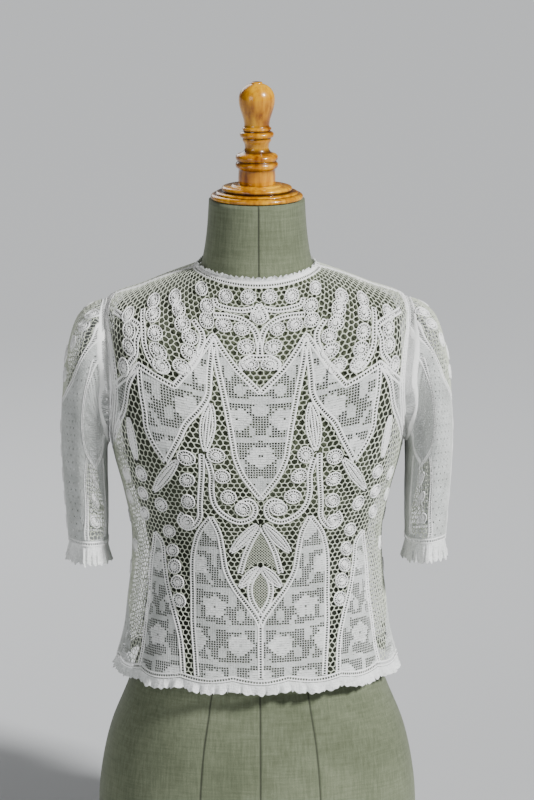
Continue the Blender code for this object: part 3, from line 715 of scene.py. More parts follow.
VINES = (
    ((51, 661), (34, 660), (18, 656), (6, 646), (1, 632), (0, 620)),
    ((0, 617), (11, 617), (20, 611), (18, 603)),
    ((6, 668), (19, 666), (37, 668), (47, 671), (50, 677)),
    ((0, 672), (6, 663), (8, 656)),
    ((74, 655), (65, 643), (65, 631), (71, 617), (80, 606), (92, 604)),
    ((130, 663), (130, 645), (129, 629), (122, 613), (112, 603), (103, 606)),
    ((161, 658), (136, 648), (138, 632), (139, 618), (147, 606)),
    ((66, 512), (66, 490), (67, 473), (68, 452), (68, 437), (75, 425), (84, 422), (91, 430), (87, 440)),
    ((60, 507), (55, 488), (55, 469), (51, 452), (40, 440), (24, 433), (10, 438), (6, 449), (12, 458),
     (22, 456), (24, 449), (18, 446)),
    ((1, 426), (9, 412), (17, 393), (23, 371)),
    ((0, 377), (9, 364), (12, 351), (9, 337), (0, 322)),
)
FINE = (
    ((0, 425), (9, 411), (17, 392), (21, 374), (0, 386)), ((0, 376), (9, 363), (12, 351), (9, 338), (0, 323)))
YOKE_ROSES = (
    (12, 680), (37, 680), (64, 686), (58, 669), (40, 651), (59, 655), (20, 647), (15, 628), (11, 610),
    (0, 659), (94, 676), (118, 671), (90, 665), (119, 659), (86, 651), (147, 657), (117, 641), (146, 642),
    (78, 638), (146, 625), (79, 623), (114, 623), (87, 607), (110, 608), (152, 603),
)
BODY_ROSES = ((50, 511), (83, 507), (43, 487), (82, 481), (36, 463), (81, 455), (82, 430), (20, 449))
STRIP_ROSES = ((102, 415), (98, 392), (96, 373), (93, 355), (91, 334))
SIDE_ROSES = (
    (111, 447), (133, 481), (131, 456), (149, 472), (146, 444), (129, 430), (147, 410), (140, 382),
    (146, 350))
FRONT_FILET = (
    CENTRE_PANEL[::-1] + YOKE_LINE[2::-1],
    INNER_PETAL + OUTER_PETAL[::-1] + ((135, 607), (116, 596), (96, 586), (74, 610), (53, 640)),
    SIDE_PETAL + ((190, 500), (190, 570), (161, 580), (150, 592)),
    ((0, 236),) + SKIRT_INNER[-2::-1] + SKIRT_OUTER[1:-1] + ((73, 236),),
    STRIP[:-1] + ((89, 236), (140, 236)) + GORE[:0:-1],
    ((160, 410), (190, 410), (190, 230), (146, 230), (148, 300)),
)
print(len(VINES), "vines and", len(YOKE_ROSES + BODY_ROSES + STRIP_ROSES), "roses on each half")


# %% [markdown]
# The tapes go down first. Corner lines keep their corners, vines are rounded, and both are mirrored.
# %% Tapes of the front
def both(paths):
    """Each path and its mirror image."""
    return [path * [sign, 1] for path in paths for sign in (1, -1)]


def drawn(find, line, curved=True):
    """A line of the drawing as a flat path."""
    flat = np.array([find(x, z) for x, z in line])
    return smooth(flat) if curved else flat


def armhole_angle(down):
    """How far round the armhole's edge lies at a height."""
    share = np.clip((np.asarray(down) - TIP) / (ARMPIT - TIP), 0, 1)
    return QUARTER - math.radians(31) * np.sin(math.pi * share) ** 0.6


def hem_down(angle):
    """The scalloped hem edge."""
    return HEM - 4 + 4 * np.abs(np.cos(8 * angle))


def edge_paths():
    """Flat paths along the piece's own edges: armhole, hem, neck, shoulder and side."""
    down = TIP + (ARMPIT - TIP) * (1 - np.cos(np.linspace(0, math.pi, 60))) / 2
    armhole = np.stack([armhole_angle(down) * around(down), -down], -1)
    turn = np.linspace(-QUARTER, QUARTER, 400)
    hem = np.stack([turn * around(hem_down(turn)), -hem_down(turn)], -1)
    neck = np.stack([turn * around(0.0 * turn), 0 * turn], -1)
    down = np.linspace(2, TIP, 20)
    shoulder = np.stack([QUARTER * around(down), -down], -1)
    down = np.linspace(ARMPIT, HEM - 2, 40)
    side = np.stack([QUARTER * around(down), -down], -1)
    return armhole, hem, neck, shoulder, side


def moved(path, distance):
    """A path moved sideways, to its left."""
    return path + leftward(np.gradient(path, axis=0)) * distance


ARMHOLE, HEM_EDGE, NECK, SHOULDER, SIDE = edge_paths()
ARMHOLE_TAPES = [moved(ARMHOLE, -2.7), moved(ARMHOLE, -7.6)]
HEM_TAPE, NECK_TAPE, NECK_CORD = moved(HEM_EDGE, 3.2), NECK - [0, 4.8], NECK - [0, 0.8]
curves = [drawn(find_front, line) for line in (
    CENTRE_PANEL, INNER_PETAL, OUTER_PETAL, SIDE_PETAL, SKIRT_INNER[:-1], SKIRT_OUTER, STRIP, GORE) + VINES]
centre = drawn(find_front, SKIRT_INNER[-2:], False)
front_paths = both([drawn(find_front, YOKE_LINE, False)] + curves + ARMHOLE_TAPES)
front_paths += [centre, HEM_TAPE, NECK_TAPE, SIDE, SIDE * [-1, 1]]
lace = Work()
for path in front_paths:
    tape(lace, path)
for sign in (1, -1):
    tape(lace, SHOULDER * [sign, 1], half=2.4)
cord(lace, NECK_CORD)
print(len(front_paths) + 2, "tapes on the front")

# %% [markdown]
# The roses come next, then the leaves: almond shapes with a ladder down each side.
# %% Roses and leaves of the front
def spots(find, table):
    """Flat places of a table's roses, on both halves."""
    return np.array([find(sign * x, z) for x, z in table for sign in ((1, -1) if x else (1,))])


def leaf(work, foot, tip, wide):
    """An almond leaf between two flat places, outlined in tape. A wide one has a vein between."""
    along = tip - foot
    side = np.array([-along[1], along[0]]) / np.linalg.norm(along)
    t = np.linspace(0, 1, 24)[:, None]
    swell = np.sin(math.pi * t) ** 0.75
    for sign in (-1, 1):
        tape(work, foot + along * t + side * sign * wide / 2 * swell, half=2.1, rise=1.7, hole=0.65)
    if wide > 7.5:
        vein = foot + along * (0.1 + 0.8 * t)
        tape(work, vein, half=min(2.3, wide / 2 - 2.2), pitch=2.4, rise=1.9, hole=0.6)


def leaves(work, find, table, signs):
    """A table's leaves on the halves named by signs. Gives back the middle line of each."""
    lines = []
    for (x0, z0), (x1, z1), wide in table:
        for sign in signs:
            foot, tip = find(x0, z0) * [sign, 1], find(x1, z1) * [sign, 1]
            leaf(work, foot, tip, wide)
            lines.append(np.linspace(foot, tip, 20))
    return lines


rose_spots = spots(find_front, YOKE_ROSES + BODY_ROSES + STRIP_ROSES + SIDE_ROSES)
roses(lace, rose_spots)
LEAVES = (
    ((56, 568), (62, 516), 11.0), ((93, 503), (119, 462), 8.5), ((4, 430), (33, 396), 8.6),
    ((2, 378), (23, 355), 7.8), ((147, 546), (139, 498), 8.0),
)
front_leaves = leaves(lace, find_front, LEAVES, (1, -1))
print(len(front_leaves), "leaves")

# %% [markdown]
# Last, the grounds fill what's left. A thread is kept where its middle is inside its own ground and clear
# of the tapes and roses, whose width hides the thread's cut end.
# %% Grounds of the front
def on_body(flat):
    """Whether flat places lie on the piece's own cut, inside its edges."""
    down = -flat[:, 1]
    angle = np.abs(flat[:, 0]) / around(np.clip(down, 0, HEM))
    limit = np.where((down > TIP) & (down < ARMPIT), armhole_angle(down), QUARTER)
    return (angle < limit) & (down > 3) & (down < hem_down(angle) - 1)


def shown_in(place, outlines, wanted=True):
    """A test for flat places: whether they show inside one of some outlines, or else outside them all."""
    def test(flat):
        seen = place(flat)
        seen = np.stack([np.abs(seen[:, 0]), seen[:, 2]], -1)
        return np.any([inside(seen, np.array(outline, float)) for outline in outlines], axis=0) == wanted

    return test


def net_test(place, outlines, paths, rose_spots, leaf_lines):
    """A test for the net: it fills what the outlines, tapes, roses and leaves leave free."""
    return every(
        on_body, shown_in(place, outlines, False), clear_of(paths, NET_CLEAR), off(rose_spots, ROSE_REACH),
        clear_of(leaf_lines, LEAF_CLEAR))


LOW, HIGH = np.array([-250.0, -HEM - 2]), np.array([250.0, 0.0])
BODY_NET = net_threads(LOW, HIGH)
net(lace, net_test(front_place, FRONT_FILET + FINE, front_paths, rose_spots, front_leaves), BODY_NET)
fine_here = every(on_body, shown_in(front_place, FINE))
fine_mesh(lace, fine_here, np.array([-30.0, -400.0]), np.array([30.0, -250.0]))
filet_here = every(on_body, shown_in(front_place, FRONT_FILET), clear_of(front_paths, FILET_CLEAR))
filet(lace, filet_here, LOW, HIGH)
front_lace = lace.piece("front_lace", front_place, *LACE)
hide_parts("front")
front_cut = cut(on_body, LOW, HIGH)

# %% [markdown]
# ## The back
# The back is two pieces that meet under a buttoned band. Its lace repeats the front's: a net yoke with
# roses above the zigzag line, filet petals, and strips of roses that run down to the hem.
# %% Lace of the back
BACK_CENTRE = ((57, 600), (59, 577), (64, 561), (62, 530), (56, 505), (48, 480))
BACK_SKIRT = ((0, 470), (30, 452), (56, 438), (68, 420), (75, 395), (78, 350), (76, 302), (73, 250))
BACK_VINES = (VINES[4], VINES[5], ((14, 668), (26, 662), (40, 655), (48, 650)), VINES[7])
BACK_ROSES = (
    (30, 648), (20, 628), (20, 684), (42, 680), (58, 669), (66, 686), (94, 676), (118, 671), (90, 660),
    (119, 655), (88, 640), (118, 638), (147, 657), (146, 640), (146, 622), (84, 622), (114, 620), (88, 605),
    (16, 610), (83, 507), (82, 481), (81, 455), (82, 430), (48, 498), (40, 474), (24, 462),
) + STRIP_ROSES + SIDE_ROSES
BACK_FILET = (
    ((0, 580), (0, 585), (26, 604), (50, 636)) + BACK_CENTRE + ((0, 484),),
    FRONT_FILET[1], FRONT_FILET[2],
    ((0, 236), (0, 470)) + BACK_SKIRT[1:-1] + ((73, 236),),
    FRONT_FILET[4], FRONT_FILET[5],
)
back_lines = [drawn(find_back, YOKE_LINE[1:], False)]
back_lines += [drawn(find_back, line) for line in (
    BACK_CENTRE, INNER_PETAL, OUTER_PETAL, SIDE_PETAL, BACK_SKIRT, STRIP, GORE) + BACK_VINES]
back_lines += [drawn(find_back, ((1, 482), (48, 480)), False)] + ARMHOLE_TAPES
down = np.linspace(3, HEM - 4, 60)
opening = np.stack([0 * down + 8.6, -down], -1)


def turn_of(flat):
    """How far round from the centre back flat places lie."""
    return np.abs(flat[:, 0]) / around(-flat[:, 1])


for side, sign in (("left", -1), ("right", 1)):
    # Seen from behind, the wearer's left is on the left.
    own = [path * [sign, 1] for path in back_lines + [opening]]
    own += [path[path[:, 0] * sign > 8.0] for path in (HEM_TAPE, NECK_TAPE)]
    own = [path[turn_of(path) < QUARTER + 0.01] for path in own]
    lace = Work()
    for path in own:
        tape(lace, path)
    cord(lace, NECK_CORD[NECK[:, 0] * sign > 0.5])
    rose_spots = np.array([find_back(x, z) for x, z in BACK_ROSES]) * [sign, 1]
    rose_spots = rose_spots[turn_of(rose_spots) < QUARTER - 0.12]
    roses(lace, rose_spots)
    leaf_lines = leaves(lace, find_back, LEAVES[:2] + LEAVES[4:], (sign,))

    def own_half(flat):
        return flat[:, 0] * sign > 7.5

    net(lace, every(own_half, net_test(back_place, BACK_FILET, own, rose_spots, leaf_lines)), BODY_NET)
    filet_here = every(own_half, on_body, shown_in(back_place, BACK_FILET), clear_of(own, FILET_CLEAR))
    filet(lace, filet_here, LOW, HIGH, lambda flat: figure(flat, 9))
    back_lace = lace.piece(f"back_{side}_lace", back_place, *LACE)
    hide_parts(f"back_{side}")
    back_cut = cut(every(own_half, on_body), LOW, HIGH)

# %% [markdown]
# ## The sleeves
# A sleeve is a tube on a slanted armhole ring. Its chart is flat like a real sleeve cut: up from the cuff,
# and round from the outer line, with the seam under the arm.
# %% Chart of a sleeve
SLEEVE_SECTIONS = (
    (187, 657.5, 172.5, 494, 64, 6, 0), (206, 640, 173, 478, 65, 6, 0), (218, 598, 173, 456, 64, 5, 0),
    (222, 560, 172.5, 441, 62, 4, 1), (224, 510, 172.5, 426, 60, 3, 3), (222, 460, 172.5, 411, 58, 2, 6),
    (219, 420, 173, 398, 57, 2, 9), (217, 390, 173, 386, 56, 2, 12),
)


def sleeve_rings(angles):
    """Rings of the wearer's left sleeve, from the armhole to the cuff. A quarter turn is its outer line."""
    share = (1 - np.sin(angles)) / 2
    down = TIP + (ARMPIT - TIP) * share
    reach = armhole_angle(down)
    turn = np.where(np.cos(angles) >= 0, reach, math.pi - reach)
    first = ring_point(BLOUSE_DOWN, BLOUSE_ROWS, turn, down)
    first[:, 0] += 1.3
    rings = [first]
    for number, (xo, zo, xi, zi, depth, y_mid, drop) in enumerate(SLEEVE_SECTIONS):
        s, k = np.sin(angles), np.cos(angles)
        reach = (np.abs(s) ** 2.6 + np.abs(k) ** 2.6) ** (-1 / 2.6)
        grow = 1 + 2.2 / depth * np.cos(5 * angles) * number / 8
        x = (xo + xi) / 2 + (xo - xi) / 2 * reach * s
        z = (zo + zi) / 2 + (zo - zi) / 2 * reach * s - drop * (0.5 - 0.5 * reach * k)
        rings.append(np.stack([x, y_mid - depth * reach * grow * k, z], -1))
    return np.array(rings)


ROUND_STEPS, LENGTH_STEPS = 240, 80
turns = np.linspace(-QUARTER, 3 * QUARTER, ROUND_STEPS + 1)
rings = sleeve_rings(turns)
rings = between(np.arange(9.0), rings.reshape(9, -1), np.linspace(0, 8, LENGTH_STEPS + 1))
rings = rings.reshape(LENGTH_STEPS + 1, ROUND_STEPS + 1, 3)
round_far = np.linalg.norm(np.diff(rings, axis=1), axis=2).cumsum(1)
round_far = np.concatenate([np.zeros((LENGTH_STEPS + 1, 1)), round_far], 1)
GIRTH = round_far[:, -1]
outer = round_far[:, ROUND_STEPS // 2]
SHARES = np.linspace(-0.5, 0.5, ROUND_STEPS + 1)
SLEEVE = np.empty_like(rings)
for row in range(LENGTH_STEPS + 1):
    behind = GIRTH[row] - outer[row]
    half_share = np.where(SHARES < 0, SHARES * 2 * outer[row], SHARES * 2 * behind) + outer[row]
    SLEEVE[row] = np.stack([np.interp(half_share, round_far[row], rings[row, :, k]) for k in range(3)], -1)
steps = np.linalg.norm(np.diff(SLEEVE, axis=0), axis=2)
UP = np.concatenate([steps[::-1].cumsum(0)[::-1], np.zeros((1, ROUND_STEPS + 1))])
ROWS = np.linspace(0, 8, LENGTH_STEPS + 1)
UP_GRID = np.linspace(0, UP.max(), 401)
ROW_AT = np.stack([np.interp(UP_GRID, UP[::-1, c], ROWS[::-1]) for c in range(ROUND_STEPS + 1)], 1)


def read_table(table, i, j):
    """A table's value between its rows and columns."""
    i = np.clip(i, 0, table.shape[0] - 1.001)
    j = np.clip(j, 0, table.shape[1] - 1.001)
    i0, j0 = i.astype(int), j.astype(int)
    a, b = i - i0, j - j0
    if table.ndim == 3:
        a, b = a[:, None], b[:, None]
    return (
        table[i0, j0] * (1 - a) * (1 - b) + table[i0 + 1, j0] * a * (1 - b)
        + table[i0, j0 + 1] * (1 - a) * b + table[i0 + 1, j0 + 1] * a * b
    )


def sleeve_table_place(flat):
    """Row and column of the sleeve's table for flat places."""
    row = np.full(len(flat), 4.0)
    for _ in range(8):
        girth = np.interp(row, ROWS, GIRTH)
        column = (np.clip(flat[:, 0] / girth, -0.5, 0.5) + 0.5) * ROUND_STEPS
        row = read_table(ROW_AT, flat[:, 1] / UP_GRID[-1] * 400, column)
    return row, column


def left_sleeve_place(flat):
    """A flat place of the wearer's left sleeve on the body."""
    row, column = sleeve_table_place(flat)
    return read_table(SLEEVE, row / 8 * LENGTH_STEPS, column)


def right_sleeve_place(flat):
    """The same on the right sleeve, whose chart is the mirror image."""
    return left_sleeve_place(flat * [-1, 1]) * [-1, 1, 1]


def find_sleeve(x, z):
    """The flat place that shows at x and z on the sleeve's front."""
    front = SLEEVE[:, :ROUND_STEPS // 2 + 1]
    best = np.argmin((front[..., 0] - x) ** 2 + (front[..., 2] - z) ** 2)
    row, column = np.unravel_index(best, front.shape[:2])
    return np.array([SHARES[column] * GIRTH[row], UP[row, column]])


rise = UP[0, ROUND_STEPS // 2]
print("sleeve round", GIRTH[[10, -1]].round(0), "mm, up its outer line", rise.round(0), "mm")

# %% [markdown]
# The cap of the sleeve is net with roses, the front has a pointed filet panel with a strip of three roses
# under its tip, and the rest is plain fine mesh. A strip of net with roses runs down the outer line to the
# cuff, between two tapes that meet under the cap. The back of the sleeve mirrors its front.
# %% Lace of the sleeves
CAP_LINE = ((176, 640), (186, 628), (197, 612), (205, 596), (213, 575), (221, 553), (230, 551.6))
PANEL_LINE = ((184, 606), (192, 585), (198, 560), (200, 525), (196, 500), (186, 481))
PANEL_INNER = ((175, 520), (179, 498), (186, 481))
STRIP_OUTER = ((196, 492), (197, 470), (197, 440), (196, 410), (196, 397))
STRIP_INNER = ((178, 490), (177, 470), (176, 440), (176, 415), (177, 397))
SLEEVE_ROSES = (
    (198, 640), (209, 622), (216, 602), (219, 583), (187, 464), (187, 442), (187, 417), (188, 652))
CAP_NET = ((170, 642),) + CAP_LINE[1:-1] + ((235, 545), (235, 680), (160, 680))
POINTED = PANEL_LINE + PANEL_INNER[1::-1] + ((165, 545), (165, 612))
STRIP_NET = ((196, 492), (197, 470), (197, 440), (196, 395), (177, 395), (176, 440), (178, 490), (186, 481))

cap_low = find_sleeve(230, 551.6)[1]
outer_tape = smooth([(0, cap_low), (-11, cap_low - 20), (-16, cap_low - 55), (-16, 70), (-14, 30), (-14, 4)])
OUTER_NET = np.vstack([outer_tape, [(1, 4), (1, cap_low)]])
lines = [drawn(find_sleeve, line) for line in (CAP_LINE, PANEL_LINE, PANEL_INNER)]
lines += [outer_tape] + [drawn(find_sleeve, line) for line in (STRIP_OUTER, STRIP_INNER)]
row_shares = np.linspace(-0.497, 0.497, 260)
cuff_tape = np.stack([row_shares * GIRTH[-1], 0 * row_shares + 3.2], -1)
seam_tape = np.stack([row_shares * GIRTH[2], np.interp(row_shares, SHARES, UP[2])], -1)
lines = both(lines) + [cuff_tape, seam_tape]
sleeve_rose_spots = np.array([find_sleeve(x, z) for x, z in SLEEVE_ROSES])
outer_roses = [(0.0, up) for up in np.linspace(20, cap_low - 34, 5)]
sleeve_rose_spots = np.vstack([sleeve_rose_spots, sleeve_rose_spots * [-1, 1], outer_roses])


def seen_from_front(flat):
    """Where flat places of the sleeve show from the front, the back half's as if on the front."""
    return left_sleeve_place(np.stack([-np.abs(flat[:, 0]), flat[:, 1]], -1))[:, [0, 2]]


def in_sleeve_net(flat):
    """Whether flat places of the sleeve are in one of its net grounds."""
    seen = seen_from_front(flat)
    front = np.abs(flat[:, 0]) < 0.44 * np.interp(flat[:, 1], [0, 300], [GIRTH[-1], GIRTH[10]])
    strip = inside(seen, np.array(STRIP_NET, float)) & front
    return inside(seen, np.array(CAP_NET, float)) | strip | inside(np.abs(flat) * [-1, 1], OUTER_NET)


def on_sleeve(flat):
    """Whether flat places lie on the sleeve's own cut."""
    row, column = sleeve_table_place(flat)
    limit = np.interp(row, ROWS, GIRTH) / 2
    top = np.interp((column / ROUND_STEPS) - 0.5, SHARES, UP[0])
    return (np.abs(flat[:, 0]) < limit) & (flat[:, 1] > 1.5) & (flat[:, 1] < top - 1.5)


def sleeve_figure(flat):
    """The pointed panel is open in a chequer, the plain panels have small scattered holes."""
    across, up = np.floor(flat / CELL).astype(int).T
    pointed = inside(seen_from_front(flat), np.array(POINTED, float)) & ((across + up) % 2 == 0)
    return np.where(pointed | ((up % 3 == 0) & ((across + up) % 4 == 0)), 0, 1)


SLEEVE_LOW, SLEEVE_HIGH = np.array([-262.0, 0.0]), np.array([262.0, UP.max()])
lace = Work()
for path in lines:
    tape(lace, path)
roses(lace, sleeve_rose_spots)
net_here = every(on_sleeve, in_sleeve_net, clear_of(lines, NET_CLEAR), off(sleeve_rose_spots, ROSE_REACH))
net(lace, net_here, net_threads(SLEEVE_LOW, SLEEVE_HIGH))
filet_here = every(on_sleeve, lambda flat: ~in_sleeve_net(flat), clear_of(lines, FILET_CLEAR))
filet(lace, filet_here, SLEEVE_LOW, SLEEVE_HIGH, sleeve_figure)
sleeve_cut = cut(on_sleeve, SLEEVE_LOW, SLEEVE_HIGH)
for side, place in (("left", left_sleeve_place), ("right", right_sleeve_place)):
    if side == "right":
        lace.points = [block * [-1, 1, 1] for block in lace.points]
    sleeve_lace = lace.piece(f"sleeve_{side}_lace", place, *LACE, turned=side == "right")
    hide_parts(f"sleeve_{side}_front", f"sleeve_{side}_back")

# %% [markdown]
# ## The dress form
# The torso is padding under a tight linen cover of long panels. Their seams are narrow valleys, so the
# skin gets more columns there, and an attribute tells the finish where a seam runs.
# %% Linen torso
SEAM_ANGLES = np.radians([-180, -157, -90, -22, 0, 22, 90, 157])
close = np.radians([-1.6, -1.0, -0.6, -0.3, 0, 0.3, 0.6, 1.0, 1.6])
columns = np.concatenate([np.radians(np.arange(-180, 180, 3.0))] + [angle + close for angle in SEAM_ANGLES])
columns = np.unique(np.round((columns + math.pi) % (2 * math.pi) - math.pi, 6))
rows_down = np.linspace(0, FORM_DOWN[-1], 150)
angle, down = np.meshgrid(columns, rows_down)
skin = ring_point(FORM_DOWN, FORM_ROWS, angle.ravel(), down.ravel())
ring = between(FORM_DOWN, FORM_ROWS, down.ravel())
scale = 0.5 * (ring[:, 3] + ring[:, 4] - ring[:, 1])
apart = np.abs((angle.ravel()[:, None] - SEAM_ANGLES + math.pi) % (2 * math.pi) - math.pi) * scale[:, None]
# The neck, above the blouse, has a seam only at its centre front and its centre back.
upper = down.ravel() < FORM_DOWN[3]
apart[:, 1:] = np.where((np.arange(1, 8) != 4)[None] & upper[:, None], 99, apart[:, 1:])
seam = np.exp(-((apart.min(1) / 0.9) ** 2))
skin = (skin - level_out(skin, 2.0) * seam[:, None] * 0.8) * 0.001
wide = len(columns)
first = (np.arange(len(rows_down) - 1)[:, None] * wide + np.arange(wide)).ravel()
after = (np.arange(len(rows_down) - 1)[:, None] * wide + (np.arange(wide) + 1) % wide).ravel()
faces = np.stack([first, first + wide, after + wide, after], -1).tolist()
faces += [list(range(wide)), list(range(len(skin) - 1, len(skin) - 1 - wide, -1))]
mesh = bpy.data.meshes.new("linen_torso")
mesh.from_pydata(skin, [], faces)
neck_height = ring_point(BLOUSE_DOWN, BLOUSE_ROWS, angle.ravel(), 0 * angle.ravel())[:, 2]
height = skin[:, 2] * 1000
covered = np.clip((height - 228) / 12, 0, 1) * np.clip((neck_height - 3 - height) / 6, 0, 1)
# Painted shade: the linen is darkened where the blouse covers it, and most at the sides and low down, for the
# shadow in the gap behind the lace.
aside, low = np.clip((np.degrees(np.abs(angle.ravel())) - 18) / 40, 0, 1), np.clip((430 - height) / 50, 0, 1)
kept = covered * np.clip(0.5 + 0.3 * aside + 0.25 * low, 0, 0.92)


def store(mesh, name, values):
    """Keeps a number at each of a mesh's points, for its finish to read."""
    mesh.attributes.new(name, "FLOAT", "POINT").data.foreach_set("value", values.astype(np.float32))


store(mesh, "seam", seam)
store(mesh, "kept", kept)
mesh.shade_smooth()
torso = link("linen_torso", mesh)
print("torso of", len(faces), "faces with", len(SEAM_ANGLES), "seams")

# %% [markdown]
# The linen is an old grey-green plain weave: slubs in the threads both ways, a mottle of fading and
# stains, and a dark line in each seam. Where the blouse covers it, the linen is darkened as painted shade.
# %% Linen finish
linen = Finish("old_linen", Roughness=0.9, Sheen_Weight=0.2, Specular_IOR_Level=0.2)
mottle, slub_up = linen.noise(9, 4), linen.noise(420, 2, (1, 1, 0.08))
slub_across, grain = linen.noise(420, 2, (0.08, 0.08, 1)), linen.noise(1300, 1)
share = mottle * 0.42 + slub_up * 0.22 + slub_across * 0.16 + grain * 0.2
linen_dye_and_painted_shade = linen.ramp(
    share, (0.36, (0.078, 0.092, 0.052)), (0.5, (0.13, 0.15, 0.092)), (0.64, (0.195, 0.22, 0.142)))
# Painted shade: the linen is darkened where the blouse covers it.
linen_dye_and_painted_shade = linen.blend(linen.attribute("kept"), linen_dye_and_painted_shade, (0.018, 0.021, 0.013, 1))
linen_dye_and_painted_shade = linen.blend(linen.attribute("seam") * 0.85, linen_dye_and_painted_shade, (0.02, 0.022, 0.015, 1))
weave = slub_up * 0.5 + slub_across * 0.5 + grain * 0.4
LINEN = linen.finish(colour=linen_dye_and_painted_shade, height=weave, strength=0.35, depth=0.0008)
torso.data.materials.append(LINEN)
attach(torso, "root")
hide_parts("form_torso")

# %% [markdown]
# The neck cap and the finial are turned on a lathe, so each is one profile spun about the upright axis. A
# single vertex is extruded down the profile and then spun, as a turner's tool would follow the outline.
# %% Turn the wood
FINIAL = (
    (0, 913.6), (5.6, 913.5), (6.3, 912.8), (6.5, 911.6), (8, 911.2), (12, 909.4), (15.6, 906.6),
    (18.3, 902.8), (20.0, 898.6), (20.6, 893.8), (20.1, 888.0), (18.7, 882.0), (16.8, 876.4),
    (15.2, 871.2), (14.4, 866.6),
    (14.3, 863.4), (15.2, 862.2), (16.3, 861.6), (16.6, 860.4), (16.2, 859.2), (15.4, 858.6), (15.6, 857.6),
    (17.6, 856.8), (19.1, 855.4), (19.4, 853.4), (18.8, 851.6), (17.2, 850.8), (16.0, 850.2), (16.4, 848.6),
    (16.2, 846.8), (15.0, 845.2), (13.9, 842.4), (13.6, 839.4), (14.4, 836.0), (16.2, 833.8), (18.8, 832.6),
    (22.0, 831.6), (23.8, 829.8), (24.2, 827.4), (23.4, 825.0), (22.0, 823.8), (22.6, 822.6), (24.1, 821.0),
    (24.4, 818.9), (23.6, 816.6), (21.8, 815.4), (21.0, 814.6), (20.9, 812.0), (21.2, 806.0), (21.2, 799.0),
    (20.6, 797.4), (0, 797.3),
)
NECK_CAP = (
    (0, 797.2), (27.0, 797.2), (28.1, 796.8), (28.6, 795.8), (29.4, 795.5), (36.5, 795.3), (39.0, 794.6),
    (40.1, 793.0), (40.1, 791.2), (39.2, 790.0), (38.8, 789.6), (40.2, 789.4), (44.6, 789.2), (46.4, 788.5),
    (46.9, 787.4), (46.4, 786.7), (47.4, 786.3), (50.2, 786.2), (51.9, 785.2), (52.7, 783.6), (52.5, 782.0),
    (51.6, 781.0), (0, 781.0),
)


def turned_wood(name, profile, node, darken_all, steps=72):
    """A profile of (radius, height) in millimetres, spun into a solid."""
    bpy.ops.mesh.primitive_plane_add(size=0.001, location=(0, 0, 0))
    made = bpy.context.object
    made.name = made.data.name = name
    bpy.ops.object.mode_set(mode="EDIT")
    bpy.ops.mesh.select_all(action="SELECT")
    bpy.ops.mesh.merge(type="CENTER")
    bpy.ops.transform.translate(value=(0, 0, profile[0][1] * 0.001))
    for (r0, z0), (r1, z1) in zip(profile, profile[1:]):
        step = ((r1 - r0) * 0.001, 0, (z1 - z0) * 0.001)
        bpy.ops.mesh.extrude_vertices_move(TRANSFORM_OT_translate={"value": step})
    bpy.ops.mesh.select_all(action="SELECT")
    bpy.ops.mesh.spin(steps=steps, angle=2 * math.pi, center=(0, 0, 0), axis=(0, 0, 1))
    bpy.ops.mesh.select_all(action="SELECT")
    bpy.ops.mesh.remove_doubles(threshold=0.00002)
    bpy.ops.mesh.normals_make_consistent(inside=False)
    bpy.ops.object.mode_set(mode="OBJECT")
    bpy.ops.object.shade_smooth_by_angle(angle=math.radians(50))
    radii, heights = np.array(profile[::-1], float).T
    spots = np.empty(len(made.data.vertices) * 3)
    made.data.vertices.foreach_get("co", spots)
    spots = spots.reshape(-1, 3) * 1000
    near = np.mean([np.interp(spots[:, 2] + d, heights, radii) for d in (-4, -2.5, 2.5, 4)], axis=0)
    groove = np.clip((near - np.hypot(spots[:, 0], spots[:, 1])) / 2.0 + darken_all, 0, 1)
    store(made.data, "groove", groove)
    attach(made, "root")
    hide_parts(node)
    bpy.ops.object.select_all(action="DESELECT")
    print(name, len(made.data.polygons), "faces")
    return made


finial = turned_wood("turned_finial", FINIAL, "finial", 0.0)
neck_cap = turned_wood("turned_neck_cap", NECK_CAP, "neck_cap", 0.3)

# %% [markdown]
# The wood is honey-coloured under an old varnish: long grain up the piece, darker in its grooves and
# all over the neck cap, and glossy on the outside.
# %% Wood finishes
wood = Finish("honey_wood", Roughness=0.32, Coat_Weight=0.5, Coat_Roughness=0.08, Specular_IOR_Level=0.3)
grain, cloud = wood.noise(170, 4, (1, 1, 0.12)), wood.noise(32, 3)
honey = wood.ramp(
    grain * 0.4 + cloud * 0.6,
    (0.36, (0.20, 0.055, 0.0)), (0.5, (0.50, 0.20, 0.0)), (0.64, (0.80, 0.40, 0.004)))
# Darker in the grooves, by how deep each point lies in the profile, and over the whole neck cap.
honey = wood.blend(wood.attribute("groove") * 0.9, honey, (0.045, 0.012, 0.003, 1))
WOOD = wood.finish(colour=honey, roughness=grain * 0.16 + 0.2, height=grain, strength=0.12, depth=0.0006)
finial.data.materials.append(WOOD)
neck_cap.data.materials.append(WOOD)
board = Finish("stained_board", Roughness=0.5, Specular_IOR_Level=0.4)
growth = board.noise(60, 4, (0.15, 1, 1))
stain = board.ramp(growth, (0.38, (0.055, 0.022, 0.008)), (0.62, (0.17, 0.075, 0.028)))
BOARD = board.finish(colour=stain, roughness=growth * 0.3 + 0.35, height=growth, strength=0.2)
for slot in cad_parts["form_base"].material_slots:
    slot.material = BOARD
print("wood and board finished")
